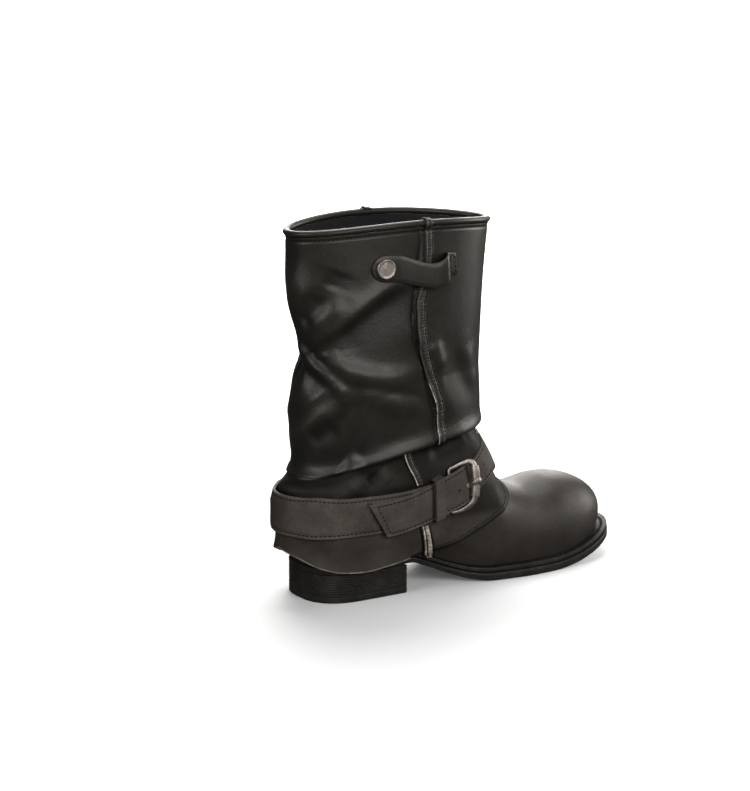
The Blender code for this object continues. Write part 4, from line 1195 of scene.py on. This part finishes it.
def build_upper():
    """Vamp and counter with a round toe, lined inside."""
    turn = np.linspace(-math.pi, math.pi, UPPER_COLUMNS, endpoint=False)
    angle = np.radians(crowded_angle(turn, UPPER_CROWDING))
    low = foot_ring(angle, feather_height)
    high = foot_ring(angle, lambda x: throat_height(angle))

    def tilt(ring):
        away = ring - FAN_POINT
        return np.arctan2(away[:, 2], np.hypot(away[:, 0], away[:, 1]))

    share = np.linspace(0, 1, UPPER_ROWS)[:, None]
    tilts = tilt(low) + share * (tilt(high) - tilt(low))
    outside = foot_point(np.broadcast_to(angle, tilts.shape), tilts)
    outside[0], outside[-1] = low, high
    inside = (outside - row_normals(outside) * UPPER_WALL)[::UPPER_LINING_STEP]
    inside = np.concatenate([inside, (outside[-1] - row_normals(outside)[-1] * UPPER_WALL)[None]])
    rows = np.concatenate([inside[::-1], outside])
    kinds = np.zeros((len(rows), UPPER_COLUMNS), dtype=int)
    lining = 1
    kinds[: len(inside) - 1] = lining
    kinds[-1] = lining
    add_piece("vamp_leather", sweep_round(rows), (VAMP, LINING), ("upper",), kinds.ravel())


def cap_faces(start, count):
    """Faces that close a loop from outline_loop, from its outer to its inner half."""
    half = count // 2
    faces = [[start, start + 1, start + count - 1]]
    for i in range(1, half - 1):
        faces.append([start + i, start + i + 1, start + count - i - 1, start + count - i])
    faces.append([start + half - 1, start + half, start + half + 1])
    return faces


def build_slab(name, levels, material, node):
    """Closed plate with the sole's outline through levels of (reach, height) functions of x."""
    rows = []
    for reach, height in levels:
        loop = outline_loop(reach, SOLE_COUNT)
        rows.append(np.column_stack([loop, height(loop[:, 0])]))
    faces = grid_faces(len(rows), SOLE_COUNT, close_columns=True).tolist()
    faces += cap_faces(0, SOLE_COUNT) + cap_faces((len(rows) - 1) * SOLE_COUNT, SOLE_COUNT)
    add_piece(name, (np.array(rows), faces), (material,), (node,))


def build_outsole():
    """Outsole with rounded edges and a groove round its middle."""
    def level(inset, rise, share):
        return (
            lambda x: last["welt"](x) - inset,
            lambda x: sole["bottom"](x) + rise + share * sole["thickness"](x),
        )

    build_slab("outsole_rubber", [level(*row) for row in OUTSOLE_LEVELS], RUBBER, "outsole")


def build_insole():
    """Insole on the welt's inner edge."""
    def level(inset, rise):
        return (
            lambda x: np.full_like(x, INSOLE_REACH - inset),
            lambda x: feather_height(x) + INSOLE_LIFT + rise,
        )

    build_slab("insole_leather", [level(*row) for row in INSOLE_LEVELS], LINING, "insole")


def build_welt():
    """Strip between outsole and upper with a rounded edge and a row of stitches."""
    def outer(inset):
        return outline_loop(lambda x: last["welt"](x) - WELT_SET_BACK - inset, SOLE_COUNT)

    inner = outline_loop(lambda x: np.full_like(x, WELT_INNER_REACH), SOLE_COUNT)
    low, high = LAYER_GAP, LAYER_GAP + WELT_THICKNESS
    corners = [(inner, low)]
    corners += [(outer(inset), low + rise) for inset, rise in WELT_EDGE]
    corners += [(outer(inset), high - drop) for inset, drop in WELT_EDGE[::-1]]
    corners.append((inner, high))
    rows = [np.column_stack([loop, outsole_top(loop[:, 0]) + rise]) for loop, rise in corners]
    add_piece("welt_strip", sweep_round(rows), (RUBBER,), ("welt",))
    line = outline_loop(lambda x: last["welt"](x) * WELT_STITCH_SHARE - WELT_SET_BACK, SOLE_COUNT)
    line = np.column_stack([line, outsole_top(line[:, 0]) + high + WELT_STITCH_LIFT])
    line = np.concatenate([line, line[:1]])
    normals = np.tile([0.0, 0.0, 1.0], (len(line), 1))
    add_piece("welt_stitches", thread(line, normals, "welt"), (THREAD,))


def heel_loop(inset):
    """Outline of the heel: round at the back, straight along its sides and breast."""
    turn = np.linspace(math.pi / 2, 3 * math.pi / 2, HEEL_ARC_COLUMNS)
    half = HEEL_HALF_WIDTH - inset
    reach = -HEEL_BACK_X - inset
    arc = np.column_stack([
        reach * signed_power(np.cos(turn), 2 / HEEL_POWER),
        half * signed_power(np.sin(turn), 2 / HEEL_POWER),
    ])
    breast = HEEL_BREAST_X - inset
    corner = np.linspace(-math.pi / 2, 0, HEEL_CORNER_COLUMNS)
    round_corner = np.column_stack([
        breast - HEEL_CORNER + HEEL_CORNER * np.cos(corner),
        -half + HEEL_CORNER + HEEL_CORNER * np.sin(corner),
    ])
    other = round_corner[::-1] * np.array([1, -1])
    return np.concatenate([arc, round_corner, other])


def add_heel_block(name, levels, node):
    """Block with the heel's outline through levels of (height, inset)."""
    rows = []
    for height, inset in levels:
        loop = heel_loop(inset)
        rows.append(np.column_stack([loop, np.full(len(loop), height)]))
    add_piece(name, stack(rows), (RUBBER,), (node,))


def build_heel():
    """Stack of thin lifts with a groove between each two, on a smooth top lift."""
    bottom = TOP_LIFT_HEIGHT + HEEL_TIP_GAP
    lift = (HEEL_HEIGHT - bottom) / HEEL_LIFTS
    levels = [(bottom + rise, inset) for rise, inset in HEEL_LOW_EDGE]
    for joint in range(1, HEEL_LIFTS):
        levels += [(bottom + joint * lift + rise, inset) for rise, inset in HEEL_GROOVE]
    levels += [(HEEL_HEIGHT + rise, inset) for rise, inset in HEEL_HIGH_EDGE]
    add_heel_block("heel_lifts", levels, "heel")
    add_heel_block("heel_tip", HEEL_TIP_LEVELS, "heel_top_lift")


def bead_line(angle):
    """Middle of the collar's bead at each angle, and the outward direction there."""
    edge = leather(angle, rim_height(angle))
    _, outward = shaft_base(angle, rim_height(angle))
    return edge - outward * SHAFT_WALL / 2 + np.array([0, 0, PIPING_LIFT + PIPING_HEIGHT / 2]), outward


def build_piping():
    """Round bead that binds the collar's edge, and the stitches below it."""
    angle = shaft_angles()
    middle, outward = bead_line(angle)
    rows = []
    for corner in full_turn(PIPING_SIDES):
        rise = np.array([0, 0, math.sin(corner) * PIPING_HEIGHT / 2])
        rows.append(middle + outward * math.cos(corner) * PIPING_WIDTH / 2 + rise)
    add_piece("collar_bead", sweep_round(rows), (LEATHER,), ("collar_piping",))
    height = rim_height(angle) - COLLAR_SEAM_DROP
    line, normal = leather_offset(angle, height, COLLAR_STITCH_LIFT)
    line = np.concatenate([line, line[:1]])
    normal = np.concatenate([normal, normal[:1]])
    add_piece("collar_stitches", thread(line, normal, "collar"), (THREAD,))


def angles_at(x, z, side):
    """Angles on one side of the shaft at which its outer face has given x, with a column for each z."""
    turns = np.linspace(*SIDE_ANGLES)
    turn_grid, z_grid = np.meshgrid(turns, z)
    reached = shaft_base(turn_grid * side, z_grid)[0][..., 0]
    columns = [np.interp(-x[:, i], -reached[i], turns) for i in range(len(z))]
    return side * np.array(columns).T


def section(shares, profile):
    """Closed section, a crowned top over a flat underside: places across it and heights, as columns."""
    across = np.concatenate([shares, shares[::-1]])
    rise = np.concatenate([profile, np.zeros(len(shares))])
    return across[:, None], rise[:, None]


def seam_section(z):
    """Places across a seam strip, heights at each z and how light it is there, as painted shade and
    highlight.
    """
    across = np.array(SEAM_SHARES + SEAM_SHARES[::-1])[:, None]
    none = (0,) * len(SEAM_SHARES)
    waver = SEAM_WAVER * np.sin(z / SEAM_WAVER_LENGTH)
    wave = np.sin(2 * math.pi * z / SEAM_WRINKLE_PITCH + waver)
    wrinkle = np.array(SEAM_WRINKLE + none)[:, None]
    rise = np.array(SEAM_PROFILE + none)[:, None] + wrinkle * wave
    tone = np.array(SEAM_SHADE + none)[:, None] + SEAM_WRINKLE_SHADE * wrinkle * wave
    return across, rise, tone


def collar_tab(seam_x, side):
    """End of a seam strip that wraps over the collar's bead, and how light it is, as painted shade and
    highlight.
    """
    across, rise, tone = seam_section(np.linspace(0, TAB_LENGTH, TAB_COLUMNS))
    corner = np.radians(np.linspace(TAB_FROM, TAB_TO, TAB_COLUMNS))
    height = np.full(TAB_COLUMNS, RIM_Z - TAB_DROP)
    angle = angles_at(seam_x(height) + across * SEAM_WIDTH / 2, height, side)
    middle, outward = bead_line(angle)
    lift = TAB_LIFT + rise[..., None] * SEAM_THICKNESS
    reach = outward * (np.cos(corner)[:, None] * (PIPING_WIDTH / 2 + lift))
    climb = np.array([0, 0, 1]) * (np.sin(corner)[:, None] * (PIPING_HEIGHT / 2 + lift))
    return sweep_along(middle + reach + climb), tone


def build_seams():
    """Raised strips over the side seams, their tabs over the collar and stitches beside the upper ones."""
    shapes = []
    for prefix, side, table in (("outer", OUTER, OUTER_SEAM), ("inner", INNER, INNER_SEAM)):
        seam_x = smooth_curve(table, "x")
        for name, (low, high) in SEAM_BANDS.items():
            z = np.arange(low, high, SEAM_ROW)
            across, rise, tone = seam_section(z)
            angle = angles_at(seam_x(z) + across * SEAM_WIDTH / 2, z, side)
            rows = leather_offset(angle, z, SEAM_LIFT + rise * SEAM_THICKNESS)[0]
            # Pale worn leather, also standing as painted highlight on the strip
            worn_and_highlit = np.isin(across[:, 0], SEAM_WORN_AND_HIGHLIT[name]).astype(int)
            worn_and_highlit[len(SEAM_SHARES):] = 0
            worn_and_highlit = worn_and_highlit[:, None] * (z[:-1] < SEAM_WORN_AND_HIGHLIT_TOP)
            kinds = np.concatenate([worn_and_highlit.ravel(), [0, 0]])
            skins = (SEAM_LEATHER, WORN_AND_HIGHLIT_LEATHER)
            nodes = (f"{prefix}_seam_{name}",)
            add_piece(f"{prefix}_strip_{name}", sweep_along(rows), skins, nodes, kinds, tone)
            if name == "shaft":
                angle = angles_at((seam_x(z) + SEAM_STITCH - SEAM_WIDTH / 2)[None], z, side)[0]
                shapes.append(thread(*leather_offset(angle, z, SEAM_STITCH_LIFT), "seam"))
        shape, tone = collar_tab(seam_x, side)
        add_piece(f"{prefix}_collar_tab", shape, (SEAM_LEATHER,), tone=tone)
    add_piece("seam_stitches", merge(shapes), (SEAM_THREAD,))


def strap_angle(along, across):
    """Angle at shares along and across the strap, with its slanted tail."""
    angle = STRAP_TAIL_ANGLE + along * (STRAP_START_ANGLE - STRAP_TAIL_ANGLE)
    return angle - STRAP_TAIL_SLANT * across * np.clip(1 - STRAP_TAIL_FADE * along, 0, 1)


def strap_surface(along, across, rise):
    """Point and normal at shares along and across the strap, a given height over its underside."""
    angle = strap_angle(along, across)
    open_share = ramp((across - STRAP_GAPE_FROM) / (1 - STRAP_GAPE_FROM))
    lift = strap["lift"](angle) + strap["gape"](angle) * open_share
    return strap_point(angle, np.broadcast_to(across, angle.shape), lift + rise)


def build_strap():
    """Strap round heel and instep whose slanted tail lies over its start, with stitched edges and holes."""
    along = np.linspace(0, 1, STRAP_COLUMNS)
    across, rise = section(STRAP_SHARES, STRAP_PROFILE)
    rows = strap_surface(along, across, rise * STRAP_THICKNESS)[0]
    angle = strap_angle(along, across)
    tail = np.where(across > STRAP_TAIL_TOP, 0, STRAP_TAIL_ANGLE + 360 - STRAP_TAIL_SLANT * across)
    tone = np.zeros(angle.shape)
    # Painted shadows where the strap goes under the buckle's bar, beside the keeper and along the edge of the
    # tail
    lines = (
        (BUCKLE_SLOT, SLOT_SHADOW_REACH),
        (KEEPER_FROM - KEEPER_SHADOW_REACH, KEEPER_SHADOW_REACH),
        (tail - TAIL_SHADOW_PLACE, TAIL_SHADOW_REACH),
    )
    for place, reach in lines:
        tone = tone - STRAP_SHADOW_STRENGTH * hump(angle, place, reach)
    tone = np.clip(tone + STRAP_EDGE_LIGHT * (np.abs(across) > STRAP_EDGE_SHARE), -1, 1)
    add_piece("strap_leather", sweep_along(rows), (STRAP_LEATHER,), ("ankle_strap",), None, tone)
    shapes = []
    inner = np.linspace(*STRAP_STITCH_ENDS, STRAP_STITCH_COLUMNS)
    for share in (-STRAP_STITCH_SHARE, STRAP_STITCH_SHARE):
        line = strap_surface(inner, share, STRAP_THICKNESS * STRAP_STITCH_RISE)
        shapes.append(thread(*line, "strap"))
    across = np.linspace(-STRAP_END_SHARE, STRAP_END_SHARE, END_COLUMNS)
    end = np.full(END_COLUMNS, STRAP_STITCH_ENDS[0])
    line = strap_surface(end, across, STRAP_THICKNESS * TOP_SHARE)
    shapes.append(thread(*line, "strap"))
    add_piece("strap_stitches", merge(shapes), (THREAD,))
    shapes = []
    for angle, share in STRAP_HOLES:
        place = angle + np.linspace(-STRAP_HOLE_REACH, STRAP_HOLE_REACH, STRAP_HOLE_COLUMNS)
        along = (place - STRAP_TAIL_ANGLE) / (STRAP_START_ANGLE - STRAP_TAIL_ANGLE)
        line = strap_surface(along, share, STRAP_THICKNESS * STRAP_HOLE_RISE)
        shapes.append(thread(*line, "strap_hole"))
    add_piece("strap_holes", merge(shapes), (THREAD,))


def build_keeper():
    """Loop that holds the strap's tail."""
    table = curves(KEEPER)
    across = stages(KEEPER["across"][0], *KEEPER_COLUMNS)
    along, rise = section(STRIP_SHARES, STRIP_PROFILE)
    angle = (KEEPER_FROM + KEEPER_TO) / 2 + along * (KEEPER_TO - KEEPER_FROM) / 2
    angle = np.broadcast_to(angle, (len(angle), len(across)))
    rows = strap_point(angle, across, table["lift"](across) + rise * KEEPER_THICKNESS)[0]
    add_piece("keeper_loop", sweep_along(rows), (STRAP_LEATHER,), ("strap_keeper",))


def metal_bar(table, closed, steps=BAR_STEPS, edge=BAR_EDGE):
    """Metal bar along a path given in the strap's frame, with rounder corners for a larger edge value."""
    columns = {name: np.array(values, dtype=float) for name, values in table.items()}
    count = len(columns["angle"])
    place = np.arange(0, count if closed else count - 1 + 1e-6, 1 / steps)
    values = {}
    for name, column in columns.items():
        knots = np.concatenate([column, column[:1]]) if closed else column
        value = np.interp(place, np.arange(len(knots)), knots)
        for _ in range(2):
            if closed:
                value = (np.roll(value, 1) + 2 * value + np.roll(value, -1)) / 4
            else:
                value[1:-1] = (value[:-2] + 2 * value[1:-1] + value[2:]) / 4
        values[name] = value
    z = strap["z"](values["angle"]) + values["across"]
    path, normal = leather_offset(values["angle"], z, values["lift"], creased=False)
    run = np.roll(path, -1, axis=0) - np.roll(path, 1, axis=0) if closed else np.gradient(path, axis=0)
    side = unit(np.cross(run, normal))
    rows = []
    for corner in full_turn(METAL_SIDES):
        wide = signed_power(np.cos(corner), edge) * values["width"][:, None] / 2
        thick = signed_power(np.sin(corner), edge) * values["thickness"][:, None] / 2
        rows.append(path + side * wide + normal * thick)
    return sweep_round(rows) if closed else sweep_along(rows)


def build_buckle():
    """Buckle frame with two sleeves on its front bar, and its prong."""
    add_piece("buckle_bow", metal_bar(BUCKLE, True), (METAL,), ("buckle_frame",))
    tables = (UPPER_SLEEVE, LOWER_SLEEVE)
    sleeves = [metal_bar(table, False, SLEEVE_STEPS, SLEEVE_EDGE) for table in tables]
    add_piece("buckle_sleeves", merge(sleeves), (METAL,))
    add_piece("buckle_tongue", metal_bar(PRONG, False), (METAL,), ("buckle_prong",))


def pull_height(angle):
    """Height of the pull strap's straight middle line."""
    share = (angle - PULL_FROM_ANGLE) / (PULL_TO_ANGLE - PULL_FROM_ANGLE)
    return PULL_FROM_Z + share * (PULL_TO_Z - PULL_FROM_Z)


def pull_point(share, across, rise):
    """Point and normal at shares along and across the pull strap, a given height over its underside."""
    angle = PULL_FROM_ANGLE + share * (PULL_TO_ANGLE - PULL_FROM_ANGLE)
    z = pull_height(angle) + pull["sag"](share) + across * PULL_HALF_WIDTH * pull["width"](share)
    return leather_offset(angle, z, PULL_LIFT + pull["bow"](share) + rise, creased=False)


def build_pull_strap():
    """Bowed strap near the collar, riveted at its round end and sewn at the other."""
    share = np.concatenate([PULL_ROUND_END[:-1], np.linspace(PULL_ROUND_END[-1], 1, PULL_COLUMNS)])
    across, rise = section(STRIP_SHARES, STRIP_PROFILE)
    rows = pull_point(share, across, rise * PULL_THICKNESS)[0]
    # Painted highlight along both edges of the pull strap
    tone = np.where(np.abs(across) > PULL_EDGE_SHARE, PULL_EDGE_HIGHLIGHT, PULL_LIGHT)
    tone = np.broadcast_to(tone, rows.shape[:2])
    add_piece("pull_leather", sweep_along(rows), (LEATHER,), ("pull_strap",), None, tone)
    shapes = []
    top = PULL_THICKNESS * TOP_SHARE
    edges = (-PULL_STITCH_SHARE, PULL_STITCH_SHARE)
    for place in PULL_STITCH_ENDS:
        line = pull_point(np.full(END_COLUMNS, place), np.linspace(*edges, END_COLUMNS), top)
        shapes.append(thread(*line, "pull_across"))
    for across in edges:
        line = pull_point(np.linspace(*PULL_STITCH_ENDS, PULL_STITCH_COLUMNS), across, top)
        shapes.append(thread(*line, "pull_along"))
    add_piece("pull_stitches", merge(shapes), (THREAD,))


def build_rivet():
    """Plain round rivet head with a raised rim on the pull strap's round end."""
    angle = np.array(RIVET_ANGLE)
    lift = PULL_LIFT + PULL_THICKNESS
    foot, normal = leather_offset(angle, pull_height(angle), lift, creased=False)
    side = unit(np.cross((0, 0, 1), normal))
    up = np.cross(normal, side)
    turn = full_turn(RIVET_COLUMNS)[:, None]
    spoke = (side * np.cos(turn) + up * np.sin(turn)) * RIVET_DIAMETER / 2
    rows = np.array([foot + normal * height + spoke * radius for radius, height in RIVET_PROFILE])
    faces = grid_faces(len(rows), RIVET_COLUMNS, close_columns=True).tolist()
    add_piece("rivet_head", (rows, faces), (METAL,), ("pull_strap_rivet",))


def build_floor():
    """Pale studio floor that fills the view, left out of the boot's reflections and bounced light."""
    turn = full_turn(FLOOR_COLUMNS)
    height = np.full(FLOOR_COLUMNS, FLOOR_Z)
    rows = [np.column_stack([size * np.cos(turn), size * np.sin(turn), height]) for size in FLOOR_RINGS]
    faces = grid_faces(len(rows), FLOOR_COLUMNS, close_columns=True).tolist()
    faces.append(list(range(FLOOR_COLUMNS)))
    data = bpy.data.meshes.new("floor")
    data.from_pydata((np.array(rows).reshape(-1, 3) * MM).tolist(), [], faces)
    data.materials.append(FLOOR)
    floor = add_object("floor", data)
    floor.visible_glossy = False
    floor.visible_diffuse = False


def add_area_light(name, place, size, power, mirrored):
    """Soft box that faces the boot and that the camera doesn't see."""
    data = bpy.data.lights.new(name, "AREA")
    data.shape = "RECTANGLE"
    data.size, data.size_y = size
    data.energy = power
    data.color = LIGHT_COLOUR
    light = add_object(name, data)
    light.visible_camera = False
    light.visible_glossy = mirrored
    light.location = place
    light.rotation_euler = (Vector(LIGHT_AIM) - Vector(place)).to_track_quat("-Z", "Y").to_euler()


def build_lights():
    """Soft studio light: boxes above, behind and at both ends, two at the outer side and a faint surround."""
    for name, values in LIGHTS.items():
        add_area_light(name, *values)
    world = bpy.data.worlds.new("studio")
    world.use_nodes = True
    background = world.node_tree.nodes["Background"]
    background.inputs["Color"].default_value = (1.0, 1.0, 1.0, 1)
    background.inputs["Strength"].default_value = SURROUND
    bpy.context.scene.world = world
    bpy.context.scene.view_settings.view_transform = "Standard"


def build_camera():
    """Camera at the photograph's place and angle of view."""
    turn, rise = math.radians(VIEW_AZIMUTH), math.radians(VIEW_ELEVATION)
    back = Vector((math.sin(turn) * math.cos(rise), -math.cos(turn) * math.cos(rise), math.sin(rise)))
    data = bpy.data.cameras.new("photo_camera")
    data.lens = data.sensor_width * FOCAL_PIXELS / PHOTO_HEIGHT
    data.clip_end = VIEW_LIMIT
    camera = add_object("photo_camera", data)
    camera.location = (Vector(VIEW_AIM) + back * VIEW_DISTANCE) * MM
    camera.rotation_euler = (-back).to_track_quat("-Z", "Y").to_euler()
    bpy.context.scene.camera = camera


def main():
    """Every piece, the stage and the camera."""
    build_outsole()
    build_welt()
    build_heel()
    build_insole()
    build_upper()
    build_shaft()
    build_piping()
    build_seams()
    build_strap()
    build_keeper()
    build_buckle()
    build_pull_strap()
    build_rivet()
    build_floor()
    build_lights()
    build_camera()


main()
